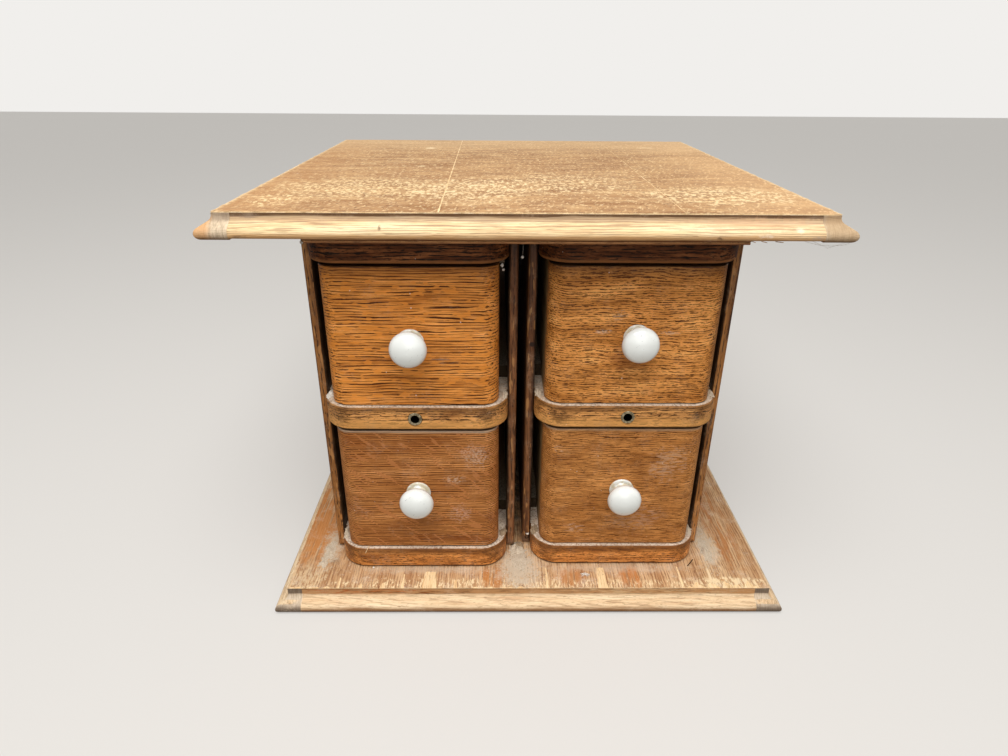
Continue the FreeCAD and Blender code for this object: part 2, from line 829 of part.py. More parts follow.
def make_drawer_front(name, place, height, side_height, knob, cam_above):
    """A thick front with rounded corners, dovetailed from behind and mortised for the lock cam."""
    front = new_piece(name, place)
    radius = dim.front_corner_radius
    sketch = new_sketch(front, "XY_Plane")
    outline = [
        (-drawer_half, front_thickness),
        (-drawer_half, radius),
        corner(radius - drawer_half, 0, bend=radius),
        (drawer_half - radius, 0),
        corner(drawer_half, radius, bend=radius),
        (drawer_half, front_thickness),
    ]
    draw_outline(sketch, outline)
    board = pad(front, sketch, height)
    ease_front_edges(front, board, radius, dim.front_easing)
    cut_sockets(front, front_thickness, front_thickness - dim.tail_length, side_height)
    cut_bottom_groove(front)

    sketch = new_sketch(front, "XZ_Plane")
    draw_circle(sketch, knob[0], height / 2 + knob[1], dim.knob_screw_radius + dim.seat_gap)
    pocket(front, sketch, front_thickness)

    start = dim.cam_depth - dim.drawer_recess - dim.cam_mortise_play
    end = start + cam_slot_depth + dim.cam_mortise_play * 2
    sketch = new_sketch(front, "XY_Plane", height if cam_above else 0)
    draw_box(sketch, -dim.cam_mortise_half_width, dim.cam_mortise_half_width, start, end)
    pocket(front, sketch, dim.cam_mortise_depth, backwards=not cam_above)


def make_drawer_side(name, place, side, height):
    """A side with dovetails at both ends and a groove for the bottom."""
    board = new_piece(name, place)
    front_root = front_thickness
    back_root = drawer_length - dim.back_thickness
    outline = [(front_root, 0), (back_root, 0)]
    for z in tail_heights(height):
        outline += tail_outline(back_root, drawer_length, z)
    outline += [(back_root, height), (front_root, height)]
    for z in reversed(tail_heights(height)):
        outline += reversed(tail_outline(front_root, front_root - dim.tail_length, z))
    sketch = new_sketch(board, "YZ_Plane", side * inner_half)
    draw_outline(sketch, outline)
    pad(board, sketch, dim.side_thickness, backwards=side < 0)
    cut_bottom_groove(board)


def make_drawer_back(name, place, side_height):
    """The back stands on the bottom and is cut through for the sides' dovetails."""
    back = new_piece(name, place)
    root_y = drawer_length - dim.back_thickness
    sketch = new_sketch(back, "XY_Plane", groove_top)
    draw_box(sketch, -drawer_half, drawer_half, root_y, drawer_length)
    pad(back, sketch, side_height - dim.back_drop - groove_top)
    cut_sockets(back, root_y, drawer_length, side_height)


def make_drawer_bottom(name, place):
    bottom = new_piece(name, place)
    half = groove_half - dim.bottom_play
    start = front_thickness - dim.bottom_front_groove + dim.bottom_play
    sketch = new_sketch(bottom, "XY_Plane", dim.bottom_rise)
    draw_box(sketch, -half, half, start, drawer_length)
    pad(bottom, sketch, dim.bottom_thickness)


def make_knob(name, place):
    """A porcelain knob: flange, cove neck and flattened ball, bored from behind for its screw."""
    knob = new_piece(name, place)
    bore = dim.knob_screw_radius + dim.seat_gap
    rim = dim.knob_flange_thickness / 2
    cap = dim.knob_projection - dim.knob_widest
    across = dim.knob_radius - dim.knob_shoulder_radius
    crown = (across * across + cap * cap - dim.knob_shoulder_radius * dim.knob_shoulder_radius) / (
        (cap - dim.knob_shoulder_radius) * 2
    )
    shoulder_x = crown * across / (crown - dim.knob_shoulder_radius)
    crown_drop = crown * (crown - cap) / (crown - dim.knob_shoulder_radius)
    shoulder_y = -(dim.knob_projection - crown + crown_drop)
    sketch = new_sketch(knob, "XY_Plane")
    outline = [
        (bore, 0),
        (dim.knob_flange_radius - rim, 0),
        corner(dim.knob_flange_radius, -rim, bend=-rim),
        corner(dim.knob_flange_radius - rim, -dim.knob_flange_thickness, bend=-rim),
        (dim.knob_neck_radius, -dim.knob_flange_thickness),
        corner(dim.knob_neck_radius, -dim.knob_neck_end, bend=dim.knob_cove_radius),
        corner(dim.knob_radius, -dim.knob_widest, bend=-dim.knob_back_radius),
        corner(shoulder_x, shoulder_y, bend=-dim.knob_shoulder_radius),
        corner(0, -dim.knob_projection, bend=-crown),
        (0, -dim.knob_bore_depth),
        (bore, -dim.knob_bore_depth),
    ]
    draw_outline(sketch, outline)
    revolve(knob, sketch)


def make_knob_screw(name, place):
    """A round-headed machine screw driven from inside the drawer, with a slot in its head."""
    screw = new_piece(name, place)
    head_y = front_thickness + dim.knob_screw_head_height
    round_over = dim.knob_screw_head_height / 2
    sketch = new_sketch(screw, "XY_Plane")
    outline = [
        (0, -(dim.knob_bore_depth - dim.seat_gap)),
        (dim.knob_screw_radius, -(dim.knob_bore_depth - dim.seat_gap)),
        (dim.knob_screw_radius, front_thickness),
        (dim.knob_screw_head_radius, front_thickness),
        (dim.knob_screw_head_radius, head_y - round_over),
        corner(dim.knob_screw_head_radius - round_over, head_y, bend=round_over),
        (0, head_y),
    ]
    draw_outline(sketch, outline)
    revolve(screw, sketch)
    sketch = new_sketch(screw, "XZ_Plane", -head_y)
    half = dim.knob_screw_slot_width / 2
    draw_box(sketch, -dim.knob_screw_head_radius, dim.knob_screw_head_radius, -half, half)
    pocket(screw, sketch, dim.knob_screw_slot_depth, backwards=True)


def make_drawer(prefix, side, opening_z, opening, cam_above):
    x, y, base = case_place(side)
    place = (x, y + dim.drawer_recess, base + opening_z + dim.drawer_lower_clearance)
    height = opening - dim.drawer_lower_clearance - dim.drawer_upper_clearance
    side_height = height - dim.side_drop
    knob = [getattr(dim, prefix + "_knob_" + axis) for axis in "xz"]
    make_drawer_front(prefix + "_drawer_front", place, height, side_height, knob, cam_above)
    make_drawer_side(prefix + "_drawer_left_side", place, -1, side_height)
    make_drawer_side(prefix + "_drawer_right_side", place, 1, side_height)
    make_drawer_back(prefix + "_drawer_back", place, side_height)
    make_drawer_bottom(prefix + "_drawer_bottom", place)
    knob_place = (place[0] + knob[0], place[1], place[2] + height / 2 + knob[1])
    make_knob(prefix + "_knob", knob_place)
    make_knob_screw(prefix + "_knob_screw", knob_place)


make_base_board()
make_top_board()
make_front_strip()
make_case("left", -1)
make_case("right", 1)
for word, side in (("left", -1), ("right", 1)):
    make_drawer("upper_" + word, side, upper_opening_z, upper_opening, False)
    make_drawer("lower_" + word, side, dim.rail_height, dim.lower_opening, True)
make_screws("base_screws", board_screws((0, 0)), 0, dim.base_thickness + dim.screw_grip)
top_screws_z = top_z - dim.top_rail_height
make_screws("top_screws", board_screws((0, 0)), top_screws_z, dim.top_rail_height + dim.screw_grip)

doc.recompute()

for item in doc.Objects:
    if "Invalid" in item.State or "Error" in item.State:
        raise RuntimeError("%s failed: %s" % (item.Label, item.State))
for body in pieces:
    if body.Shape.isNull() or not body.Shape.isValid() or not body.Shape.Solids:
        raise RuntimeError("%s has no sound solid" % body.Label)

os.makedirs("parts", exist_ok=True)
for body in pieces:
    body.Shape.exportStep("parts/%s.step" % body.Label)
print("wrote %d pieces" % len(pieces))
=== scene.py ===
import math
import random

import bmesh
import bpy
from mathutils import Matrix, Vector, noise


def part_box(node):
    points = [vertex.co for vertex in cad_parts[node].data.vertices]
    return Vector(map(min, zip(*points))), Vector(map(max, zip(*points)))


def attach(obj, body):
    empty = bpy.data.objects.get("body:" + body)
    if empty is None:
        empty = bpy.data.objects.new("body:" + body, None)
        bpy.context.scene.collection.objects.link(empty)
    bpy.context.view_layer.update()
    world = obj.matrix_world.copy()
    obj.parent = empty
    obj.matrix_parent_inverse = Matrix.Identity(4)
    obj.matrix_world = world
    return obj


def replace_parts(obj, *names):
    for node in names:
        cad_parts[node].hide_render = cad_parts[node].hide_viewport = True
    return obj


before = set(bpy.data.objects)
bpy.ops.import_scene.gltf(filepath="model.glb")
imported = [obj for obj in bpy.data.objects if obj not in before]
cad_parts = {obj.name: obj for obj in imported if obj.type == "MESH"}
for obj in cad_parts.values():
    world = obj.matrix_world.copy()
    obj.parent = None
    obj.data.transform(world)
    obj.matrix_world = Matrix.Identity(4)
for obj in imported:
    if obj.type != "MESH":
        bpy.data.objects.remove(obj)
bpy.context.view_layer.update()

print("frame loaded:", len(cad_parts), "nodes")

# A tabletop chest of four small oak drawers between two moulded boards. Metres, and the front faces -Y.

mm = 0.001


def perMm(size):  # pattern scale, in repeats per metre, for a feature of this many millimetres
    return 1000 / size


def linearColour(hexCode):  # sRGB hex to the linear colour that shaders take
    channels = [int(hexCode[start:start + 2], 16) / 255 for start in (1, 3, 5)]
    return tuple(c / 12.92 if c <= 0.04045 else ((c + 0.055) / 1.055) ** 2.4 for c in channels) + (1.0,)


def setInputs(tree, node, inputs):  # values, sockets or nodes, by name or in a list from the first socket
    for name, value in inputs.items() if isinstance(inputs, dict) else enumerate(inputs):
        if isinstance(value, bpy.types.Node):
            value = value.outputs[0]
        if isinstance(value, bpy.types.NodeSocket):
            tree.links.new(value, node.inputs[name])
        else:
            node.inputs[name].default_value = value


def addNode(tree, kind, inputs=(), **settings):
    node = tree.nodes.new("ShaderNode" + kind)
    for name, value in settings.items():
        setattr(node, name, value)
    setInputs(tree, node, inputs)
    return node


def startFinish(name):  # a material with its tree, its shader and the coordinates on the chest
    material = bpy.data.materials.new(name)
    material.use_nodes = True
    tree = material.node_tree
    return material, tree, tree.nodes["Principled BSDF"], addNode(tree, "TexCoord")


def endFinish(tree, shader, relief, look, inputs):  # the relief is so many millimetres deep
    bump = addNode(tree, "Bump", {
        "Strength": look["bump"], "Distance": look["reliefDepth"] * mm, "Height": relief})
    setInputs(tree, shader, dict(inputs, Normal=bump))


def variedRoughness(tree, pattern, look):  # the sheen comes and goes with the pattern
    less, more = look["roughnessSpread"]
    return addNode(tree, "MapRange", {
        "Value": pattern, "To Min": look["roughness"] + less, "To Max": look["roughness"] + more})


def drawnOut(tree, place, along, across, detail=2.0):  # clouds drawn out along X, sizes in millimetres
    scaled = addNode(
        tree, "VectorMath", [place, (perMm(along), perMm(across), perMm(across))], operation="MULTIPLY")
    return addNode(tree, "TexNoise", {"Vector": scaled, "Scale": 1.0, "Detail": detail, "Roughness": 0.6})


fades = dict(  # where in its pattern each layer starts and is whole, then its amount if all share one
    fibre=(0.47, 0.72), ring=(0.44, 0.66, 0.75), paleRing=(0.42, 0.3, 0.6), endGrain=(0.15, 0.4),
    crumbly=(0.4, 0.6), haze=(0.48, 0.72), speck=(0.09, 0.04, 0.8), stain=(0.38, 0.62, 0.75),
    scuff=(0.68, 0.74, 0.7), tarnish=(0.38, 0.6), bore=(-0.75, -0.5), darkDust=(0.45, 0.65),
    rubbed=(0.38, 0.6, 0.3), settled=(0.36, 0.56, 0.25))  # these two end with the least that is left


def layOver(tree, under, hexCode, pattern, start, end, amount=1.0, within=None):
    # A colour laid over another where the pattern passes from start to end. Gives the colour and its mask.
    mask = addNode(tree, "MapRange", [pattern, start, end, 0.0, amount], interpolation_type="SMOOTHSTEP")
    if within is not None:
        mask = addNode(tree, "Math", [mask, within], operation="MULTIPLY")
    over = addNode(tree, "Mix", {"Factor": mask, 6: under, 7: linearColour(hexCode)}, data_type="RGBA")
    return over.outputs[2], mask


# Oak. Ring-porous, so growth lines and pores show as dark broken lines along the grain, and quartered
# boards show smooth ray flecks between them. Patterns run along X and are turned on to the piece.
# Sizes and places are in millimetres, and pairs are an amount and its colour. Rows hold:
#   tones    place on the ramp, colour
#   shades   axis, from, to, colour, amount, raggedness: soft bands of dirt or wear, and of painted light and shade, along an edge
#   patches  middle, half size, colour, amount, edge: worn places, stains, scratches, dust and a few painted
#   shadows
#   specks   spacing, share of places left clean
#   dust     amount, colour, and the slope it starts and is whole at

grainTurns = dict(x=(0, 0, 0), y=(0, 0, -math.pi / 2), z=(0, math.pi / 2, 0))
plainOak = dict(  # what a board has unless its own look says otherwise
    grain="x", across=(0, 0, 1), wander=4, wanderLength=70, toneSize=(140, 9), flecks=None, lines=(),
    shades=(), patches=(), endGrain=None, haze=(0, "#CDB9A2"), specks=None, dust=None,
    # after wear: the dark colour of the painted shade on the faces inside a case
    wear=(0.5, "#C9A06A"), grime=(0.88, "#1B110A"), speckColour="#E6DACB", roughness=0.5, varnish=0,
    bump=0.6, grit=0.4, specular=0.3, fibreSize=(18, 0.7), driftLength=160, drift=3.0, tornSize=8,
    fineSize=1.8, cloudSize=20, streakSize=(45, 3), ringSize=(0.9, 6, 16), reliefDepth=0.3,
    driftWidth=5, dashWidth=0.7,  # in spacings of the growth lines
    roughnessSpread=(-0.08, 0.12), hazeMatt=0.5, dustMatt=0.4, varnishRoughness=0.3,
    fibreRelief=0.5, grooveRelief=-1.0)
plainEnd = dict(ragged=0.9, amount=0.85)  # end grain
plainFleck = dict(turn=(0, 0, 0), detail=1.0, hidden=0.12)  # hidden: how much of the pores is left
plainPatch = dict(  # crumb: length, width, least
    turn=(0, 0, 0), ragged=0.8, swing=1.6, fray=0, inner=0.5, crumb=None)
softEdge = dict(fleck=0.04, pore=0.06, crumb=0.09, speck=0.02)  # how far each pattern takes to fade in


def layShades(tree, colour, shades, split, waver, within=None):
    for axis, start, end, hexCode, amount, raggedness in shades:
        along = split.outputs["XYZ".index(axis)]
        level = addNode(tree, "Math", [waver, raggedness * mm, along], operation="MULTIPLY_ADD")
        colour, _ = layOver(tree, colour, hexCode, level, start * mm, end * mm, amount, within)
    return colour


def layPatches(tree, colour, patches, place, grain, centred, fine):
    for middle, size, hexCode, amount, edge in patches:
        edge = dict(plainPatch, **edge)
        fray = edge["fray"]
        middle, scale = tuple(value * mm for value in middle), tuple(perMm(value) for value in size)
        offset = addNode(tree, "VectorMath", [place, middle], operation="SUBTRACT")
        local = addNode(tree, "Mapping", {"Vector": offset, "Rotation": edge["turn"], "Scale": scale})
        reach = addNode(tree, "VectorMath", [local], operation="LENGTH").outputs["Value"]
        swing = edge["ragged"] * edge["swing"]
        reach = addNode(tree, "Math", [centred, swing, reach], operation="MULTIPLY_ADD")
        if fray:  # the edge thins out into crumbs
            reach = addNode(tree, "Math", [fine, fray, reach], operation="MULTIPLY_ADD")
        within = None
        if edge["crumb"]:  # only broken crumbs of the patch are there, drawn out along the grain
            length, width, least = edge["crumb"]
            crumbs = drawnOut(tree, grain, length, width, 4.0)
            most = least + softEdge["crumb"]
            within = addNode(tree, "MapRange", [crumbs, least, most], interpolation_type="SMOOTHSTEP")
        colour, _ = layOver(
            tree, colour, hexCode, reach, 1.0 + fray / 2, edge["inner"] + fray / 2, amount, within)
    return colour


def oakMaterial(name, look):
    look = dict(plainOak, **look)
    material, tree, shader, where = startFinish(name)
    place = where.outputs["Object"]
    facing = addNode(tree, "SeparateXYZ", [where.outputs["Normal"]])
    split = addNode(tree, "SeparateXYZ", [place])
    turned = addNode(tree, "Mapping", {"Vector": place, "Rotation": grainTurns[look["grain"]]})

    # The grain wanders a little from side to side.
    wander = addNode(tree, "TexNoise", {
        "Vector": turned, "Scale": perMm(look["wanderLength"]), "Detail": 2.0})
    wander = addNode(tree, "VectorMath", [wander.outputs["Color"], (0.5, 0.5, 0.5)], operation="SUBTRACT")
    sideways = look["wander"] * mm
    wander = addNode(tree, "VectorMath", [wander, (0, sideways, sideways)], operation="MULTIPLY")
    grain = addNode(tree, "VectorMath", [turned, wander], operation="ADD")

    # Broad tones, then fine fibre.
    ramp = addNode(tree, "ValToRGB", [drawnOut(tree, grain, *look["toneSize"], 5.0)])
    stops = ramp.color_ramp.elements
    for index, (position, hexCode) in enumerate(look["tones"]):
        stop = stops[index] if index < 2 else stops.new(position)
        stop.position = position
        stop.color = linearColour(hexCode)
    amount, hexCode = look["fibre"]
    fibre = drawnOut(tree, grain, *look["fibreSize"], 3.0)
    colour, _ = layOver(tree, ramp.outputs[0], hexCode, fibre, *fades["fibre"], amount)

    # Ray flecks: smooth and free of pores.
    clear = 1.0
    if look["flecks"]:
        flecks = dict(plainFleck, **look["flecks"])
        tilted = addNode(tree, "Mapping", {"Vector": grain, "Rotation": flecks["turn"]})
        shape = drawnOut(tree, tilted, flecks["length"], flecks["width"], flecks["detail"])
        start, amount = flecks["start"], flecks["amount"]
        colour, fleck = layOver(
            tree, colour, flecks["colour"], shape, start, start + softEdge["fleck"], amount)
        clear = addNode(tree, "MapRange", [fleck, 0.0, amount, 1.0, flecks["hidden"]])

    # Growth lines lie a set distance apart, swell and fade along their length, and stop at the flecks.
    grooves = 0.0
    for lines in look["lines"]:
        spacing, broken = lines["spacing"], lines["broken"]
        across = addNode(tree, "VectorMath", [grain, look["across"]], operation="DOT_PRODUCT")
        steps = addNode(tree, "Math", [across.outputs["Value"], perMm(spacing)], operation="MULTIPLY")
        drift = drawnOut(tree, grain, look["driftLength"], spacing * look["driftWidth"])
        steps = addNode(tree, "Math", [drift, look["drift"], steps], operation="MULTIPLY_ADD")
        nearness = addNode(tree, "Math", [steps, 0.5], operation="PINGPONG")
        dashes = drawnOut(tree, grain, lines["dash"], spacing * look["dashWidth"])
        swell = addNode(tree, "Math", [dashes, broken, nearness], operation="MULTIPLY_ADD")
        reach = 0.5 * broken + lines["width"]
        colour, line = layOver(
            tree, colour, lines["colour"], swell, reach + lines["soft"], reach, lines["amount"], clear)
        grooves = addNode(tree, "Math", [grooves, line], operation="MAXIMUM")

    # Pores: short dark dashes, drawn wider than real ones, which are too fine to show.
    pores = look["pores"]
    start = pores["start"]
    dash = drawnOut(tree, grain, pores["length"], pores["width"])
    colour, pore = layOver(
        tree, colour, pores["colour"], dash, start, start + softEdge["pore"], pores["amount"], clear)
    grooves = addNode(tree, "Math", [grooves, pore], operation="MAXIMUM")

    # The finish has gone from worn arrises, and the faces inside a case are darkened by a painted shade.
    torn = addNode(tree, "TexNoise", {
        "Vector": place, "Scale": perMm(look["tornSize"]), "Detail": 6.0, "Roughness": 0.68})
    fine = addNode(tree, "TexNoise", {
        "Vector": place, "Scale": perMm(look["fineSize"]), "Detail": 3.0, "Roughness": 0.7})
    centred = addNode(tree, "Math", [torn, 0.5], operation="SUBTRACT")
    rubbed = addNode(tree, "MapRange", [fine, *fades["rubbed"]])
    for mark, within in (("wear", rubbed), ("grime", None)):
        amount, hexCode = look[mark]
        marked = addNode(tree, "Attribute", attribute_name=mark).outputs["Fac"]
        colour, _ = layOver(tree, colour, hexCode, marked, 0.0, 1.0, amount, within)

    streaks = drawnOut(tree, grain, *look["streakSize"], 4.0)
    streaks = addNode(tree, "Math", [streaks, 0.5], operation="SUBTRACT")
    colour = layShades(tree, colour, look["shades"], split, streaks)
    colour = layPatches(tree, colour, look["patches"], place, grain, centred, fine)

    # End grain shows where a board's end faces the front or back.
    if look["endGrain"]:
        end = dict(plainEnd, **look["endGrain"])
        scale = tuple(perMm(size) for size in look["ringSize"])
        rings = addNode(tree, "VectorMath", [place, scale], operation="MULTIPLY")
        rings = addNode(tree, "TexNoise", {"Vector": rings, "Scale": 1.0, "Detail": 3.0, "Roughness": 0.6})
        ends, _ = layOver(tree, linearColour(end["colour"]), end["ring"], rings, *fades["ring"])
        ends, _ = layOver(tree, ends, end["pale"], rings, *fades["paleRing"])
        across = addNode(tree, "Math", [facing.outputs[1]], operation="ABSOLUTE")
        worn = addNode(tree, "Math", [centred, end["ragged"], across], operation="MULTIPLY_ADD")
        mask = addNode(tree, "MapRange", [
            worn, *fades["endGrain"], 0.0, end["amount"]], interpolation_type="SMOOTHSTEP")
        colour = addNode(tree, "Mix", {"Factor": mask, 6: colour, 7: ends}, data_type="RGBA").outputs[2]
        colour = layShades(tree, colour, end["shades"], split, centred, mask)

    # Haze and pale specks left by dust and old polish.
    roughness = variedRoughness(tree, fine, look)
    amount, hexCode = look["haze"]
    if amount:
        crumbly = addNode(tree, "MapRange", [fine, *fades["crumbly"]])
        cloud = addNode(tree, "TexNoise", {
            "Vector": place, "Scale": perMm(look["cloudSize"]), "Detail": 6.0, "Roughness": 0.65})
        colour, cloud = layOver(tree, colour, hexCode, cloud, *fades["haze"], amount, crumbly)
        roughness = addNode(tree, "Math", [cloud, look["hazeMatt"], roughness], operation="MULTIPLY_ADD")
    if look["specks"]:
        spacing, clean = look["specks"]
        cells = addNode(tree, "TexVoronoi", {"Vector": place, "Scale": perMm(spacing)})
        chosen = addNode(tree, "SeparateColor", [cells.outputs["Color"]])
        chosen = addNode(tree, "MapRange", [chosen, clean, clean + softEdge["speck"]])
        colour, _ = layOver(
            tree, colour, look["speckColour"], cells.outputs["Distance"], *fades["speck"], chosen)

    # Dust on whatever faces up, broken into crumbs.
    if look["dust"]:
        amount, hexCode, start, whole = look["dust"]
        settled = addNode(tree, "MapRange", [fine, *fades["settled"]])
        colour, dusty = layOver(tree, colour, hexCode, facing.outputs[2], start, whole, amount, settled)
        roughness = addNode(tree, "Math", [dusty, look["dustMatt"], roughness], operation="MULTIPLY_ADD")

    relief = 0.0
    for pattern, height in ((fibre, "fibreRelief"), (grooves, "grooveRelief"), (fine, "grit")):
        relief = addNode(tree, "Math", [pattern, look[height], relief], operation="MULTIPLY_ADD")
    endFinish(tree, shader, relief, look, {
        "Base Color": colour, "Roughness": roughness, "Coat Weight": look["varnish"],
        "Coat Roughness": look["varnishRoughness"], "Specular IOR Level": look["specular"]})
    return material


oakLooks = {}

# Top veneer: sliced oak, its finish gone. It scatters light evenly, with pale torn flakes and brown dashes.

oakLooks["flakedOakVeneer"] = dict(
    wander=9, toneSize=(60, 16),
    tones=[(0.3, "#94693F"), (0.7, "#CDA676"), (0.44, "#AD8358"), (0.56, "#BC9365")],
    fibre=(0.6, "#855C38"),
    flecks=dict(
        length=2.8, width=7, detail=5, turn=(0, 0, 0.35), start=0.56, colour="#F5D9A8", amount=0.5,
        hidden=0.6),
    lines=[dict(spacing=8, dash=11, width=0, broken=1.4, soft=0.14, colour="#7D5536", amount=0.35)],
    pores=dict(length=3, width=5, start=0.59, colour="#7A5233", amount=0.7),
    shades=[
        # darker to the left and lighter to the right, lighter towards the back as a painted light, and pale
        # worn side edges
        ("X", -150, -230, "#BE8D5B", 0.4, 90), ("X", 120, 200, "#ECC08C", 0.3, 80),
        ("Y", 60, 240, "#E3C193", 0.45, 90), ("X", -227.5, -231, "#F3DCAE", 0.5, 14),
        ("X", 219, 222.5, "#F3DCAE", 0.45, 14)],
    patches=[
        ((-140, -132, 371), (90, 62, 30), "#FBE0AC", 0.6, dict(crumb=(3.4, 6, 0.48), ragged=1.4)),
        ((-46, -140, 371), (60, 72, 30), "#FAE0B0", 0.65, dict(crumb=(3.2, 6, 0.48), ragged=1.4)),
        ((31, -106, 371), (75, 66, 30), "#F8DDAC", 0.65, dict(crumb=(3.2, 6, 0.5), ragged=1.4)),
        ((156, -162, 371), (84, 48, 30), "#FCE2B0", 0.65, dict(crumb=(4, 6, 0.48), ragged=1.3)),
        ((-201, -185, 371), (30, 34, 30), "#F9DDA9", 0.7, dict(crumb=(4, 7, 0.5), ragged=1.2)),
        ((-30, 60, 371), (230, 190, 30), "#F3D6A5", 0.3, dict(crumb=(3.6, 7, 0.59))),
        ((158, 162, 371), (17, 5, 9), "#F8E1B4", 0.75,
         dict(turn=(0, 0, -0.75), crumb=(6, 5, 0.44), ragged=1.1)),
        ((-104, -5, 371), (5, 4, 9), "#F8E1B4", 0.8, dict(ragged=1.2)),
        ((-109, 148, 371), (7, 8, 9), "#F8E1B4", 0.7, dict(ragged=1.3)),
        ((94, -121, 371), (13, 0.8, 9), "#8B6440", 0.5, dict(turn=(0, 0, -0.75), ragged=0.3)),
        ((83, -138, 371), (11, 0.8, 9), "#8B6440", 0.5, dict(turn=(0, 0, -1.2), ragged=0.3))],
    haze=(0.25, "#E2C8A2"), specks=(9, 0.9), wear=(0.85, "#F6E0B2"), roughness=0.65, bump=0.5, grit=0.5,
    specular=0.2)

# Moulding: oak planed with a shaped iron. Cream where it is rubbed, grey-brown with dirt in the cove, a
# painted shadow with dirt under the veneer's edge, and a nose that darkens towards its underside, partly
# dirt and partly a painted shade.

oakLooks["mouldedOak"] = dict(
    wander=3, toneSize=(90, 4), tones=[(0.3, "#D6B084"), (0.7, "#F5DFB7"), (0.45, "#E6C999")],
    fibre=(0.6, "#B48D66"),
    lines=[dict(spacing=1.7, dash=38, width=0.05, broken=0.9, soft=0.12, colour="#967254", amount=0.65)],
    pores=dict(length=16, width=0.5, start=0.62, colour="#8A6646", amount=0.6),
    shades=[
        ("Z", 363.4, 365.8, "#9A7B5E", 0.62, 7), ("Z", 366.9, 368.9, "#52361F", 0.92, 4.6),
        ("Z", 358.6, 355.4, "#CB9256", 0.62, 6), ("Z", 354.8, 352.7, "#744420", 0.9, 3)],
    patches=[
        ((x, -236, z), (width, 14, height), hexCode, amount, dict(ragged=1.2, fray=1.2, inner=0.1))
        for x, z, width, height, hexCode, amount in (
            (-206, 368, 15, 2.6, "#8C7864", 0.75), (-209, 355, 10, 1.8, "#77624E", 0.7),
            (-110.8, 361.5, 1.6, 2, "#5E442C", 0.9), (133.4, 355.5, 3.4, 1.8, "#5E442C", 0.85),
            (204, 368, 14, 2.2, "#77624F", 0.75), (203, 355.8, 11, 2, "#AE9E8D", 0.7),
            (191, 361, 5, 2.4, "#FBF0DA", 0.7), (168, 357, 8, 2.2, "#F7EBD8", 0.6),
            (160, 364, 80, 6, "#CFA27C", 0.45))],
    haze=(0.3, "#CDB397"), wear=(0.5, "#F6E2B8"), roughness=0.62, bump=0.55, specular=0.2)
oakLooks["mouldedOakEnds"] = dict(
    oakLooks["mouldedOak"], grain="y", patches=[],
    endGrain=dict(
        colour="#C9B69C", ring="#9A8873", pale="#E2D0B4",
        # the cove greyer, orange and brown at the tips, and the underside darker, partly dirt and partly a
        # painted shade
        shades=[
            ("Z", 363.6, 366.2, "#7E6A57", 0.65, 5), ("X", -229, -235, "#CC904F", 0.75, 6),
            ("X", 206, 214, "#A98962", 0.75, 8), ("Z", 355.2, 352.8, "#6E5036", 0.75, 3.5)]))
oakLooks["planedOakStrip"] = dict(
    tones=[(0.3, "#7E4F2B"), (0.7, "#AD784A"), (0.5, "#96643A")], fibre=(0.5, "#5E3A20"),
    pores=dict(length=12, width=0.8, start=0.56, colour="#4E2F19", amount=0.7), wear=(0.7, "#DDA86B"),
    roughness=0.6)
oakLooks["sawnOakUnderside"] = dict(
    toneSize=(140, 18), tones=[(0.3, "#5D3B24"), (0.7, "#85593A"), (0.5, "#704A2E")],
    fibre=(0.5, "#482B18"), pores=dict(length=9, width=0.9, start=0.57, colour="#372112", amount=0.7),
    haze=(0.3, "#CDB9A2"), roughness=0.75, specular=0.2)

# Base board: the same veneer with dust trodden into it, and bare pale wood where pieces of it are gone.

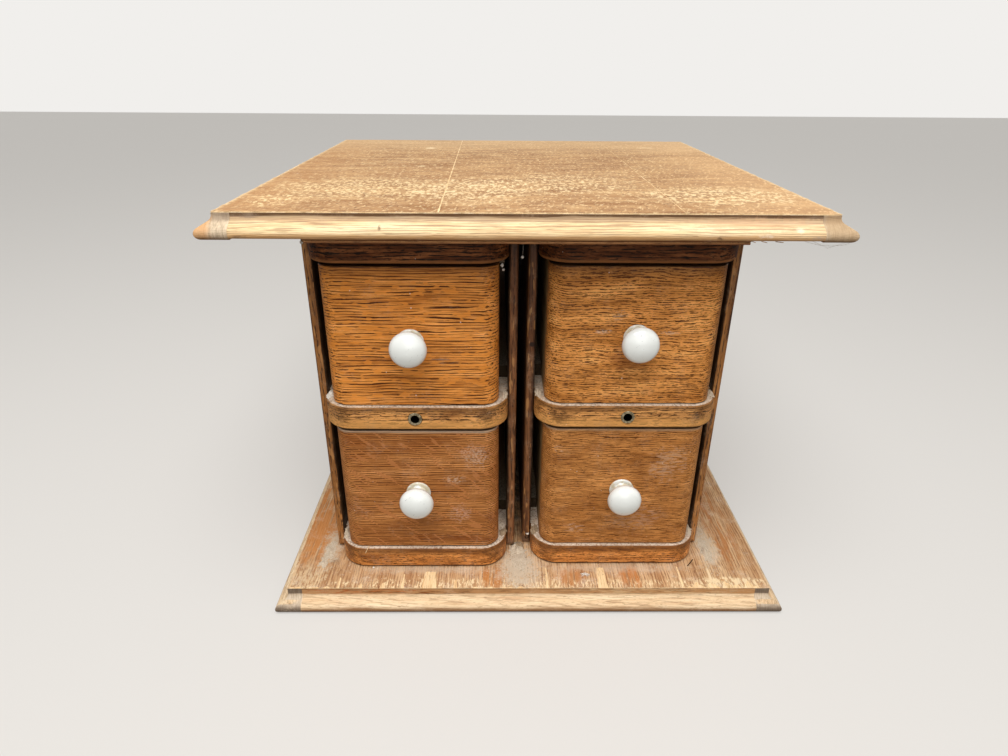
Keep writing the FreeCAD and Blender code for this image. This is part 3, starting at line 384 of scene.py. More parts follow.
oakLooks["dustyOakVeneer"] = dict(
    grain="y", wander=3, toneSize=(150, 8),
    tones=[(0.3, "#AE8058"), (0.7, "#E3C096"), (0.44, "#C4996E"), (0.57, "#D3AC81")],
    fibre=(0.65, "#94693F"), across=(0, 1, 0),
    lines=[dict(spacing=2.6, dash=16, width=0.02, broken=1.2, soft=0.16, colour="#8C5F3C", amount=0.7)],
    pores=dict(length=8, width=0.8, start=0.6, colour="#80573A", amount=0.7),
    patches=[
        ((x, y, 22), (width, depth, 30), hexCode, amount, edge)
        for x, y, width, depth, hexCode, amount, edge in (
            (-20, -231, 250, 9, "#F6DEB2", 0.85, dict(crumb=(6, 1.6, 0.5), ragged=1.3)),
            (-207, -222, 26, 22, "#E2C79F", 0.6, dict(crumb=(6, 1.5, 0.45), ragged=1.3)),
            (195, -230, 46, 11, "#F5DCB0", 0.85, dict(crumb=(8, 3, 0.44), ragged=1.2)),
            (21.9, -224, 1.6, 16, "#F1D7AE", 0.7, {}),
            (74.5, -223, 4.4, 16, "#F0D3A6", 0.8, dict(inner=0.8)),
            (150.3, -223, 1.8, 17, "#F1D7AE", 0.7, {}),
            (179.6, -218, 1.8, 11, "#F1D7AE", 0.7, {}),
            (-30, -222, 20, 18, "#C07B3C", 0.8, dict(crumb=(40, 3, 0.42))),
            (104, -220, 15, 20, "#C27C42", 0.75, dict(crumb=(40, 3, 0.42))),
            (44, -222, 18, 16, "#BC7C46", 0.7, dict(crumb=(40, 3, 0.44))),
            (-206, -120, 26, 110, "#C47F42", 0.85, dict(crumb=(60, 5, 0.41))),
            (208, -140, 18, 90, "#B4733C", 0.75, dict(crumb=(60, 4, 0.46))),
            (-187, -199, 8, 7, "#6B5A48", 0.5, dict(fray=1.5, inner=0.1)),
            (-4.5, -209, 24, 38, "#CDBAA1", 0.94, dict(ragged=0.9, fray=1.6, inner=0.35)),
            (-193, -176, 13, 44, "#CAB69C", 0.88, dict(ragged=1.5, fray=2.2, inner=0.1)),
            (188, -176, 14, 44, "#CBB89F", 0.88, dict(ragged=1.2, fray=1.8, inner=0.2)),
            (-97, -212, 96, 7, "#CBB499", 0.6, dict(ragged=1.4, fray=1.6, inner=0.2)),
            (89, -209, 96, 8, "#CBB499", 0.55, dict(ragged=1.4, fray=1.6, inner=0.2)),
            # painted shade: the floor of the deep gap between the cases, darkened
            (-4.5, 90, 11, 280, "#4A3D30", 0.9, dict(ragged=0.9)))],
    haze=(0.7, "#DEC8B0"), specks=(6, 0.85), wear=(0.8, "#F3DCB2"), roughness=0.72, bump=0.6, grit=0.6,
    specular=0.2)
oakLooks["bareOak"] = dict(
    grain="y", toneSize=(140, 5), tones=[(0.3, "#E3BE8C"), (0.7, "#FAE6BF"), (0.5, "#F0D3A4")],
    fibre=(0.7, "#CFA26E"), pores=dict(length=8, width=0.7, start=0.6, colour="#A87C4E", amount=0.6),
    wear=(0.3, "#FAEACA"), roughness=0.75, bump=0.7, specular=0.2)
oakLooks["mouldedBaseOak"] = dict(
    wander=3, toneSize=(90, 4), tones=[(0.3, "#CFA981"), (0.7, "#EED6B1"), (0.45, "#E0C29A")],
    fibre=(0.65, "#A9815B"), across=(0.05, 0, 1),
    lines=[dict(spacing=2.2, dash=13, width=0, broken=1.1, soft=0.16, colour="#94704F", amount=0.45)],
    pores=dict(length=6, width=0.7, start=0.61, colour="#84603F", amount=0.6),
    # the fillet browner and darker at its top, and the nose darker towards its underside, partly dirt and
    # partly a painted shade
    shades=[
        ("Z", 14.4, 15.6, "#B98450", 0.85, 2), ("Z", 19.4, 21.4, "#7A502D", 0.75, 2.4),
        ("Z", 8.8, 4.6, "#8C6039", 0.9, 6), ("Z", 4, 1.4, "#442913", 0.93, 3)],
    patches=[
        ((-150, -240, 18), (90, 9, 5), "#B65C24", 0.7, dict(crumb=(12, 1.4, 0.5))),
        ((-110, -240, 18), (150, 9, 5), "#54300F", 0.65, dict(crumb=(16, 1.2, 0.5))),
        ((120, -240, 18), (120, 9, 5), "#E0C194", 0.65, dict(crumb=(20, 1.4, 0.48))),
        ((110, -240, 18), (110, 9, 5), "#54381F", 0.6, dict(crumb=(14, 1, 0.53)))],
    haze=(0.3, "#E0C9AC"), wear=(0.5, "#F9E7C4"), roughness=0.62, bump=0.55, specular=0.2)
oakLooks["mouldedBaseOakEnds"] = dict(
    oakLooks["mouldedBaseOak"], grain="y", patches=[],
    endGrain=dict(
        colour="#C9B8A2", ring="#A08B76", pale="#DFD0BA",
        shades=[
            ("Z", 14.6, 16.2, "#3B281A", 0.85, 2), ("Z", 11, 6, "#4B3624", 0.85, 5)]))

# Cases: quartered oak, once varnished and now mostly dull, with pale dust on every edge that faces up.

oakLooks["varnishedOakRail"] = dict(
    wander=2, toneSize=(45, 6),
    tones=[(0.3, "#8F592C"), (0.7, "#FFBC75"), (0.43, "#C4884B"), (0.57, "#E2A05A")],
    fibre=(0.55, "#6B4321"),
    lines=[dict(spacing=2.6, dash=9, width=0.05, broken=1.2, soft=0.06, colour="#2C1305", amount=0.95)],
    pores=dict(length=4.5, width=0.8, start=0.585, colour="#2F1606", amount=0.95),
    shades=[
        # darker just under the top arris, a painted highlight on the lower part, and a painted shadow along
        # the bottom edge
        ("Z", 191.5, 195.5, "#67421F", 0.6, 4), ("Z", 189, 182, "#E2A45A", 0.6, 5),
        ("Z", 178, 176.9, "#140A04", 0.95, 1)],
    patches=[
        # painted shadow round each keyhole bush
        ((-97.7, -208, 187.2), (7, 9, 7), "#1C1009", 0.9, dict(ragged=0.3, inner=0.8)),
        ((88.7, -204, 187.2), (6.6, 9, 6.6), "#2A1A0F", 0.8, dict(ragged=0.3, inner=0.8)),
        *(((x, -206, 189), (15, 12, 12), "#3F240D", 0.6, dict(ragged=1.4, fray=1.2, inner=0))
          for x in (-162, -35, 26, 152))],
    haze=(0.25, "#B9A084"), specks=(5, 0.93), dust=(0.95, "#DCCAB5", 0.72, 0.93), wear=(0.35, "#A98766"),
    roughness=0.5, varnish=0.05, bump=0.5, specular=0.2)
# Top rails: the same oak in darker tones, a painted shade under the overhang of the top board, with a
# painted highlight above the lower edge and a painted shadow along it.
oakLooks["shadedOakRail"] = dict(
    oakLooks["varnishedOakRail"], tones=[(0.3, "#331607"), (0.7, "#A4663A"), (0.5, "#643618")],
    fibre=(0.55, "#220E05"),
    lines=[dict(spacing=2.8, dash=14, width=0.05, broken=1.2, soft=0.08, colour="#150802", amount=0.95)],
    pores=dict(length=6, width=1, start=0.58, colour="#1E0E06", amount=0.85),
    shades=[("Z", 329.5, 327.5, "#A9703F", 0.5, 1.5), ("Z", 326.6, 325.8, "#0E0704", 0.9, 0.6)], patches=[],
    haze=(0.05, "#B9A084"), dust=(0.95, "#A48A70", 0.72, 0.93), wear=(0.3, "#9A6F4B"), varnish=0,
    specular=0.12)
oakLooks["lowOakRail"] = dict(
    oakLooks["varnishedOakRail"], tones=[(0.3, "#874C1E"), (0.7, "#FAAC5E"), (0.5, "#CC8340")],
    lines=[dict(spacing=2.1, dash=6, width=0.02, broken=1.2, soft=0.08, colour="#4B2709", amount=0.95)],
    pores=dict(length=3, width=0.7, start=0.585, colour="#4A270B", amount=0.85),
    # darker just under the top arris, and a painted shadow along the foot where the rail meets the base
    shades=[("Z", 36, 41, "#633A19", 0.7, 4), ("Z", 25.4, 22.8, "#241206", 0.9, 2)],
    patches=[
        ((x, -206, 35), (17, 14, 13), "#4A2A10", 0.6, dict(ragged=1.4, fray=1.2, inner=0))
        for x in (-168, -27, 20, 158)])
oakLooks["varnishedOakPanel"] = dict(
    grain="z", wander=3, toneSize=(120, 7),
    tones=[(0.3, "#784821"), (0.7, "#C78A4D"), (0.44, "#9A6532"), (0.58, "#B1763D")],
    fibre=(0.65, "#5E3819"), across=(0, 0.7, 0.7),
    flecks=dict(length=16, width=3, start=0.62, colour="#CB9358", amount=0.45),
    lines=[dict(spacing=2.2, dash=12, width=0.03, broken=1.3, soft=0.1, colour="#3C210D", amount=0.85)],
    pores=dict(length=7, width=0.9, start=0.6, colour="#3C210D", amount=0.8), haze=(0.3, "#C7AC8E"),
    specks=(8, 0.92), wear=(0.55, "#D2A268"), roughness=0.52, varnish=0.1, bump=0.5)
oakLooks["grimyOakPanel"] = dict(
    oakLooks["varnishedOakPanel"], tones=[(0.3, "#4B2A15"), (0.7, "#A06B42"), (0.5, "#744827")],
    fibre=(0.65, "#331A0B"),
    # pale dust at the foot, and a painted shade darker towards the top, under the top board
    shades=[("Z", 38, 22, "#9A836C", 0.4, 14), ("Z", 300, 350, "#1A0E07", 0.6, 40)],
    patches=[
        ((4.5, -174, 244), (4, 3, 3), "#160A04", 0.9, dict(ragged=0.4))],
    specks=(5, 0.9), wear=(0.35, "#8F6745"))

# Drawer fronts: quartered oak, rubbed with shellac. A low warm sheen, and each is from a different board.

oakLooks["upperLeftOak"] = dict(
    wander=4, wanderLength=60, toneSize=(60, 8),
    tones=[(0.3, "#B26826"), (0.7, "#FAAA5A"), (0.44, "#D5873B"), (0.57, "#E89848")],
    fibre=(0.45, "#96521B"),
    flecks=dict(length=13, width=4.5, start=0.57, colour="#E28C36", amount=0.55, hidden=0.2),
    lines=[
        dict(spacing=2.7, dash=36, width=0.08, broken=0.75, soft=0.04, colour="#2E0E01", amount=0.95),
        dict(spacing=1.6, dash=20, width=0.02, broken=0.8, soft=0.08, colour="#5F2A08", amount=0.7)],
    pores=dict(length=5, width=0.5, start=0.64, colour="#55260A", amount=0.6),
    # painted shade: darker under the rail above, the top face dark in the gap, and a dark line along the
    # bottom edge
    shades=[
        ("Z", 314, 321, "#6B3D1B", 0.5, 6), ("Z", 321.9, 322.6, "#2E1C0E", 0.8, 0.4),
        ("Z", 200.6, 199.4, "#1C0E05", 0.92, 0.8)],
    patches=[
        ((-74, -205, 243), (9, 6, 1), "#8E7C6C", 0.5, dict(turn=(0, 0.5, 0), ragged=0.6)),
        ((-66, -205, 240), (12, 6, 6), "#8C7460", 0.3, dict(crumb=(5, 1, 0.5)))],
    haze=(0.1, "#CDB9A2"), specks=(8, 0.95), wear=(0.45, "#C98A4E"), roughness=0.42, varnish=0.04, bump=0.6,
    specular=0.14)
oakLooks["upperRightOak"] = dict(
    wander=8, wanderLength=42, toneSize=(60, 11),
    tones=[(0.3, "#AC6A2C"), (0.7, "#FBB566"), (0.44, "#CD8741"), (0.57, "#E49B51")],
    fibre=(0.5, "#8A5222"),
    lines=[
        dict(spacing=2, dash=5, width=0.04, broken=1.1, soft=0.06, colour="#4C2306", amount=0.95),
        dict(spacing=3.1, dash=8, width=0, broken=1, soft=0.08, colour="#3C1A04", amount=0.75)],
    pores=dict(length=3.5, width=0.6, start=0.62, colour="#522A0B", amount=0.75),
    # painted shade darker under the rail above and along the top and bottom edges; darker towards the right
    # end
    shades=[
        ("Z", 312, 321, "#57331A", 0.6, 8), ("X", 152, 160, "#5E3A1E", 0.4, 6),
        ("Z", 321.9, 322.6, "#2E1C0E", 0.8, 0.6), ("Z", 200.6, 199.4, "#1C0E05", 0.92, 0.8)],
    patches=[
        ((62, -201, 267), (9, 6, 3), "#D6C6B2", 0.55, dict(crumb=(5, 0.9, 0.5), ragged=0.6)),
        ((118, -201, 266), (12, 6, 2), "#D0BEA8", 0.5, dict(crumb=(6, 0.8, 0.5), ragged=0.6)),
        ((75, -201, 282), (10, 6, 6), "#CBB297", 0.35, dict(crumb=(6, 1.5, 0.5))),
        ((85, -201, 240), (26, 6, 12), "#8A4A1C", 0.45, dict(ragged=0.9))],
    haze=(0.12, "#CDB9A2"), specks=(9, 0.95), wear=(0.45, "#C5884E"), roughness=0.44, varnish=0.04,
    bump=0.5, specular=0.14)
oakLooks["lowerLeftOak"] = dict(
    wander=4, wanderLength=55, toneSize=(90, 14),
    tones=[(0.3, "#995725"), (0.7, "#DC985B"), (0.44, "#B3723A"), (0.58, "#C88548")],
    fibre=(0.5, "#7A461D"),
    flecks=dict(
        length=24, width=3.2, turn=(0, -0.66, 0), start=0.58, colour="#B07040", amount=0.75, hidden=0.05),
    lines=[dict(spacing=1.9, dash=24, width=0.13, broken=0.5, soft=0.07, colour="#481E05", amount=0.92)],
    pores=dict(length=7, width=0.7, start=0.62, colour="#56290B", amount=0.6),
    # pale dust on the top arris, then painted shade on the top face and along the bottom edge
    shades=[
        ("Z", 170.5, 172.8, "#C9B196", 0.7, 3), ("Z", 173.2, 173.6, "#2E1C0E", 0.75, 0.3),
        ("Z", 46.2, 45, "#1C0E05", 0.92, 0.8)],
    patches=[
        ((-46, -205, 148), (16, 9, 17), "#D6B79C", 0.5,
         dict(crumb=(2.2, 1.4, 0.45), ragged=1.2, fray=1, inner=0.2)),
        ((-66, -205, 122), (13, 9, 6), "#DCC1A6", 0.5, dict(crumb=(3, 1.4, 0.47), fray=1, inner=0.2)),
        ((-60, -205, 84), (14, 9, 13), "#D3AB92", 0.42,
         dict(crumb=(2.4, 1.4, 0.46), ragged=1.2, fray=1, inner=0.2))],
    haze=(0.3, "#C49C7A"), specks=(5, 0.9), wear=(0.6, "#CFA680"), roughness=0.52, bump=0.5, specular=0.15)
oakLooks["lowerRightOak"] = dict(
    wander=8, wanderLength=38, toneSize=(45, 9),
    tones=[(0.3, "#A0632C"), (0.7, "#E3A05C"), (0.44, "#BB7B3F"), (0.58, "#CF8D4C")],
    fibre=(0.6, "#7C4C21"),
    lines=[dict(spacing=1.7, dash=16, width=0.08, broken=0.9, soft=0.06, colour="#471F05", amount=0.92)],
    pores=dict(length=4, width=0.6, start=0.6, colour="#4F2A0C", amount=0.85),
    # pale dust on the top arris, then painted shade on the top face and along the bottom edge
    shades=[
        ("Z", 170.5, 172.8, "#BFA283", 0.5, 3), ("Z", 173.2, 173.6, "#2E1C0E", 0.75, 0.3),
        ("Z", 46.2, 45, "#1C0E05", 0.92, 0.8)],
    patches=[
        ((132, -201, 136), (22, 9, 22), "#CBA88A", 0.4, dict(crumb=(6, 1.5, 0.46), ragged=1.3)),
        ((104, -201, 78), (30, 9, 22), "#C69B7C", 0.4, dict(crumb=(6, 1.5, 0.45), ragged=1.3)),
        ((48, -201, 64), (14, 9, 7), "#D6B59A", 0.4, dict(crumb=(6, 1.5, 0.5))),
        ((30, -201, 152), (5, 9, 5), "#E3CDB6", 0.6, dict(crumb=(4, 1.5, 0.5)))],
    haze=(0.3, "#C69F7A"), specks=(6, 0.9), wear=(0.55, "#CFA680"), roughness=0.5, bump=0.4, specular=0.15)

# Inside: plain softwood from the saw and plane, never finished and gone tan with age.

oakLooks["plainWoodLengthways"] = dict(
    grain="y", wander=5, toneSize=(160, 15), tones=[(0.3, "#84643F"), (0.7, "#B3905F"), (0.5, "#9C7A4F")],
    fibre=(0.4, "#6E5232"), pores=dict(length=6, width=0.6, start=0.62, colour="#7C5C39", amount=0.4),
    haze=(0.35, "#A08B70"), specks=(12, 0.93), dust=(0.25, "#CDBBA4", 0.6, 0.9), wear=(0.4, "#C2A273"),
    roughness=0.7, bump=0.35, specular=0.2)
oakLooks["plainWoodAcross"] = dict(oakLooks["plainWoodLengthways"], grain="x")
# Runners: darkened towards the front, a painted shade in the gaps beside the drawers.
oakLooks["grimyRunnerWood"] = dict(
    oakLooks["plainWoodLengthways"], shades=[("Y", -60, -140, "#1A130B", 0.9, 20)])

materials = {name: oakMaterial(name, look) for name, look in oakLooks.items()}
print("wood finishes made:", len(materials))


# Glazed porcelain: white and glossy, with yellowed dirt round the neck and a few grey scuffs.

porcelainLook = dict(
    colour="#E9EBE6", stain="#CFC19B", neck=(3, 9), cloud=5, roughness=0.12, scuff="#85878A", scuffLength=8,
    scuffWidth=1.1, scuffTurn=(0, 0.7, 0), glaze=0.6, glazeRoughness=0.06, bump=0.12,
    reliefDepth=0.3, roughnessSpread=(0, 0.12))


def porcelainMaterial(name, look, knobBox):
    material, tree, shader, where = startFinish(name)
    place = where.outputs["Object"]
    middle = tuple((low + high) / 2 for low, high in zip(*knobBox))
    local = addNode(tree, "VectorMath", [place, middle], operation="SUBTRACT")
    split = addNode(tree, "SeparateXYZ", [local])
    cloud = addNode(tree, "TexNoise", {"Vector": place, "Scale": perMm(look["cloud"]), "Detail": 4.0})
    neckFrom, neckTo = look["neck"]
    neck = addNode(
        tree, "MapRange", [split.outputs[1], neckFrom * mm, neckTo * mm], interpolation_type="SMOOTHSTEP")
    colour, _ = layOver(tree, linearColour(look["colour"]), look["stain"], cloud, *fades["stain"], neck)
    turned = addNode(tree, "Mapping", {"Vector": place, "Rotation": look["scuffTurn"]})
    streaks = drawnOut(tree, turned, look["scuffLength"], look["scuffWidth"])
    colour, _ = layOver(tree, colour, look["scuff"], streaks, *fades["scuff"])
    roughness = variedRoughness(tree, cloud, look)
    endFinish(tree, shader, cloud, look, {
        "Base Color": colour, "Roughness": roughness, "Coat Weight": look["glaze"],
        "Coat Roughness": look["glazeRoughness"]})
    return material


# Metals: turned brass gone dull and brown, and plain steel screws. Both shine only where they are rubbed.

plainMetal = dict(bump=0.3, reliefDepth=0.1, roughnessSpread=(-0.1, 0.2))
metalLooks = dict(
    agedBrass=dict(plainMetal, bright="#D2C6A6", dull="#857A60", roughness=0.42, patch=2.5, bore="#15110C"),
    blackenedBrass=dict(plainMetal, bright="#6E6552", dull="#2E2A22", roughness=0.45, patch=3),
    dullSteel=dict(plainMetal, bright="#8C8880", dull="#4E4842", roughness=0.45, patch=2))


def metalMaterial(name, look):
    material, tree, shader, where = startFinish(name)
    cloud = addNode(tree, "TexNoise", {
        "Vector": where.outputs["Object"], "Scale": perMm(look["patch"]), "Detail": 5.0, "Roughness": 0.65})
    colour, _ = layOver(tree, linearColour(look["bright"]), look["dull"], cloud, *fades["tarnish"])
    if "bore" in look:  # painted shade on every face that does not face the front: the bore and the rim
        facing = addNode(tree, "SeparateXYZ", [where.outputs["Normal"]])
        colour, _ = layOver(tree, colour, look["bore"], facing.outputs[1], *fades["bore"])
    roughness = variedRoughness(tree, cloud, look)
    endFinish(tree, shader, cloud, look, {
        "Base Color": colour, "Roughness": roughness, "Metallic": 1.0})
    return material


# House dust: lint and grit, quite matt. Pale where it is fresh, grey-brown where it is packed. Its grain is
# drawn coarser than real dust, which is too fine to show.

plainDust = dict(roughness=0.95, specular=0.1, bump=0.5, reliefDepth=0.2)
dustLooks = dict(
    houseDust=dict(plainDust, colour="#CFBEA7", dark="#AF9A80", grain=0.8),
    packedDust=dict(plainDust, colour="#A48D72", dark="#7C664E", grain=0.8),
    whiteLint=dict(plainDust, colour="#E9E2D6", dark="#CFC3B2", grain=1),
    oakSplinter=dict(plainDust, colour="#C58F52", dark="#8A5A2C", grain=2),
    darkGrit=dict(plainDust, colour="#3A2A1C", dark="#1E140C", grain=1))


def dustMaterial(name, look):
    material, tree, shader, where = startFinish(name)
    cloud = addNode(tree, "TexNoise", {
        "Vector": where.outputs["Object"], "Scale": perMm(look["grain"]), "Detail": 4.0, "Roughness": 0.7})
    colour, _ = layOver(tree, linearColour(look["colour"]), look["dark"], cloud, *fades["darkDust"])
    endFinish(tree, shader, cloud, look, {
        "Base Color": colour, "Roughness": look["roughness"], "Specular IOR Level": look["specular"]})
    return material


for name, look in metalLooks.items():
    materials[name] = metalMaterial(name, look)
for name, look in dustLooks.items():
    materials[name] = dustMaterial(name, look)
print("all finishes made:", len(materials))


# Meshes.


def placeObject(name, data):
    thing = bpy.data.objects.new(name, data)
    bpy.context.scene.collection.objects.link(thing)
    return thing


def meshFrom(shape, name, material):
    mesh = bpy.data.meshes.new(name)
    shape.to_mesh(mesh)
    shape.free()
    mesh.materials.append(material)
    return mesh


def newPiece(name, shape, material, body="cabinet", smooth=False):
    piece = placeObject(name, meshFrom(shape, name, material))
    for polygon in piece.data.polygons:
        polygon.use_smooth = smooth
    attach(piece, body)
    return piece


def markFaces(shape, layerName, faces):  # the finishes read the mark as wear, or as the painted shade inside a case
    layers = shape.loops.layers.float
    mark = layers.get(layerName) or layers.new(layerName)
    for face in faces:
        for loop in face.loops:
            loop[mark] = 1.0


def roundArrises(shape, radius, segments=2, degrees=32):  # rounds the sharp edges and marks them as worn
    limit = math.radians(degrees)
    sharp = [edge for edge in shape.edges if edge.is_manifold and edge.calc_face_angle(0) > limit]
    rounded = bmesh.ops.bevel(
        shape, geom=sharp, offset=radius, offset_type="OFFSET", segments=segments,
        profile=0.5, affect="EDGES", clamp_overlap=True, material=-1)
    markFaces(shape, "wear", rounded["faces"])


def shadeInsideFaces(shape, railBox):  # marks a panel's face on the side of its own drawers, for a painted shade
    middle = (railBox[0][0] + railBox[1][0]) / 2
    markFaces(shape, "grime", [
        face for face in shape.faces
        if face.normal.x * (middle - face.calc_center_median().x) > 0 and abs(face.normal.x) > 0.5])


softening = dict(  # radius of the arris for each kind of part, in millimetres
    moulding=0.35, rail=0.5, panel=0.6, front=0.4, inner=0.3,
    seam=0.002, flat=0.3, weight=90)  # corners this near are one, and so are faces within these degrees


def wornCopy(nodeName, arris, material, body="cabinet"):
    # A CAD part with softened arrises: upper_left_drawer_front becomes upperLeftFront.
    shape = bmesh.new()
    shape.from_mesh(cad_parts[nodeName].data)
    bmesh.ops.remove_doubles(shape, verts=shape.verts, dist=softening["seam"] * mm)
    bmesh.ops.dissolve_limit(
        shape, angle_limit=math.radians(softening["flat"]), verts=shape.verts, edges=shape.edges)
    roundArrises(shape, softening[arris] * mm)
    if arris == "panel":
        shadeInsideFaces(shape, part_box(nodeName.split("_")[0] + "_middle_rail"))
    first, *others = nodeName.replace("_drawer", "").replace("lipping", "moulding").split("_")
    pieceName = first + "".join(word.title() for word in others)
    piece = newPiece(pieceName, shape, materials[material], body, smooth=True)
    weighted = piece.modifiers.new("evenShading", "WEIGHTED_NORMAL")
    weighted.keep_sharp = True
    weighted.weight = softening["weight"]
    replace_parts(piece, nodeName)


boardPieces = [  # CAD name, arris, finish
    ("top_front_lipping", "moulding", "mouldedOak"), ("top_back_lipping", "moulding", "mouldedOak"),
    ("top_side_lippings", "moulding", "mouldedOakEnds"), ("top_front_strip", "inner", "planedOakStrip"),
    ("base_front_lipping", "moulding", "mouldedBaseOak"),
    ("base_back_lipping", "moulding", "mouldedBaseOak"),
    ("base_side_lippings", "moulding", "mouldedBaseOakEnds")]
casePieces = [  # ending of the CAD name, arris, finish
    ("_outer_panel", "panel", "varnishedOakPanel"), ("_inner_panel", "panel", "grimyOakPanel"),
    ("_top_rail", "rail", "shadedOakRail"), ("_middle_rail", "rail", "varnishedOakRail"),
    ("_bottom_rail", "rail", "lowOakRail")]
drawerFinishes = {
    "upper_left": "upperLeft", "upper_right": "upperRight",
    "lower_left": "lowerLeft", "lower_right": "lowerRight"}
drawerBoxes = {
    "_left_side": "plainWoodLengthways", "_right_side": "plainWoodLengthways",
    "_back": "plainWoodAcross", "_bottom": "plainWoodAcross"}

for nodeName, arris, material in boardPieces:
    wornCopy(nodeName, arris, material)
for side in ("left", "right"):
    for ending, arris, material in casePieces:
        wornCopy(side + ending, arris, material)
print("boards and cases dressed")
for drawer, word in drawerFinishes.items():
    body = drawer + "_drawer"
    wornCopy(body + "_front", "front", word + "Oak", body)
    for ending, material in drawerBoxes.items():
        wornCopy(body + ending, "inner", material, body)
print("drawers dressed")


# Veneer leaves with torn front edges. A notch is (x, width, depth), a torn stretch (start, end, depth), and
# a joint (x at the front, x at the back, gap at the front, gap at the back).

topVeneerShape = dict(
    step=1.3, ragged=1.2, seed=3, arris=0.1, bed=0.7, bedInset=0.4, sideRagged=2.4, sidesFrom=200,
    jointRagged=0.4, joints=[(-69.0, -74.2, 0.8, 0.25), (110.2, 110.2, 0.35, 0.02)],
    notches=[(-187, 3, 1.8), (-150, 2, 1.6), (-31, 2, 1.5), (64, 3, 1.4), (121, 2.5, 2.2), (183, 5, 1.4)],
    torn=[(-232, -196, 1.4), (-120, -60, 0.9), (-20, 40, 1.0), (60, 150, 1.2)])
baseVeneerShape = dict(
    step=0.9, ragged=0.8, seed=8, arris=0.12, bed=0.3, bedInset=0.4, sideRagged=0.8, sidesFrom=0,
    jointRagged=0, joints=[],
    notches=[
        (-175.7, 2, 14.6), (-154.4, 3.4, 6), (-134.1, 3.4, 6.5), (-115.2, 2.6, 18.5), (-90.2, 13.4, 22.2),
        (-65.3, 2.6, 10.6), (21.9, 2.2, 27), (74.5, 8.8, 28), (150.3, 2.4, 29)],
    torn=[(-223, -180, 4), (-60, 20, 2.5), (152.6, 223, 11)])
tearing = dict(  # lengths of the waves in a torn edge, and how far a torn stretch takes to start
    coarse=7, fine=1.9, sideCoarse=9, sideFine=2.3, fade=8,
    front=(0.4, 0.6), torn=(0.35, 0.35), side=(0.25, 0.5),  # loss everywhere, and the fine waves' share
    notchSides=5, notchWaver=0.06, whole=4)  # whole: steps from a corner


def sideLoss(place, look):  # the other edges are only a little ragged
    least, fineShare = tearing["side"]
    loss = least + noise.noise(place / tearing["sideCoarse"])
    loss += fineShare * noise.noise(place / tearing["sideFine"])
    ragged = look["sideRagged"] if abs(place.x) > look["sidesFrom"] else look["jointRagged"]
    return ragged * max(0.0, loss)


def edgeLoss(x, look):  # how far back the front edge is lost at x, all in millimetres
    coarse = noise.noise(Vector((x / tearing["coarse"], look["seed"], 0)))
    fine = noise.noise(Vector((x / tearing["fine"], look["seed"], 5)))
    least, fineShare = tearing["front"]
    loss = look["ragged"] * max(0.0, least + coarse + fineShare * fine)
    least, fineShare = tearing["torn"]
    for start, end, depth in look["torn"]:
        if start < x < end:
            fade = min(1.0, (x - start) / tearing["fade"], (end - x) / tearing["fade"])
            loss = max(loss, depth * fade * max(0.0, least + coarse + fineShare * fine))
    for middle, width, depth in look["notches"]:
        inside = 1 - abs(x - middle) * 2 / width
        if inside > 0:
            share = min(1.0, inside * tearing["notchSides"]) * (1 + tearing["notchWaver"] * fine)
            loss = max(loss, depth * share)
    return loss


def layLeaf(shape, corners, low, high, look):  # the corners run round from the front left, in millimetres
    verts = [shape.verts.new(Vector((x, y, low)) * mm) for x, y in corners]
    leaf = shape.faces.new(verts)
    for vert, following in zip(verts, verts[1:] + verts[:1]):
        side = following.co - vert.co
        inward = Vector((-side.y, side.x, 0)).normalized()
        corner = vert
        count = max(1, int(side.length / (look["step"] * mm)))
        for number in range(1, count):
            _, vert = bmesh.utils.edge_split(shape.edges.get((vert, following)), vert, 0.5)
            vert.co = corner.co + side * number / count
            loss = edgeLoss(vert.co.x / mm, look) if corner is verts[0] else sideLoss(vert.co / mm, look)
            fade = min(1.0, number / tearing["whole"], (count - number) / tearing["whole"])
            vert.co += inward * loss * fade * mm
    for element in bmesh.ops.extrude_face_region(shape, geom=[leaf])["geom"]:
        if isinstance(element, bmesh.types.BMVert):
            element.co.z = high * mm


def makeVeneer(nodeName, pieceName, material, look):
    low, high = (Vector(corner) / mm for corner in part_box(nodeName))
    shape = bmesh.new()
    bedTop = low.z + look["bed"]
    joints = [(low.x, low.x, 0, 0)] + look["joints"] + [(high.x, high.x, 0, 0)]
    for left, right in zip(joints, joints[1:]):
        corners = [
            (left[0] + left[2] / 2, low.y), (right[0] - right[2] / 2, low.y),
            (right[1] - right[3] / 2, high.y), (left[1] + left[3] / 2, high.y)]
        layLeaf(shape, corners, bedTop, high.z, look)
    bmesh.ops.recalc_face_normals(shape, faces=shape.faces)
    roundArrises(shape, look["arris"] * mm, 1, 50)
    markFaces(shape, "wear", [face for face in shape.faces if abs(face.normal.z) < 0.5])
    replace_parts(newPiece(pieceName, shape, materials[material]), nodeName)
    shape = bmesh.new()  # bare wood and old glue that show where the veneer is gone
    inset = Vector((look["bedInset"], look["bedInset"], 0))
    low, high = low + inset, high - inset
    corners = [(low.x, low.y), (high.x, low.y), (high.x, high.y), (low.x, high.y)]
    whole = dict(look, ragged=0, sideRagged=0, jointRagged=0, torn=[], notches=[])
    layLeaf(shape, corners, low.z, bedTop, whole)
    bmesh.ops.recalc_face_normals(shape, faces=shape.faces)
    newPiece(pieceName + "Bed", shape, materials["bareOak"])


makeVeneer("top_veneer", "topVeneerLeaves", "flakedOakVeneer", topVeneerShape)
makeVeneer("base_veneer", "baseVeneerSheet", "dustyOakVeneer", baseVeneerShape)
print("veneers laid")


# Dust, lint, cobweb and splinters, where years of standing have left them. Places and sizes in millimetres.

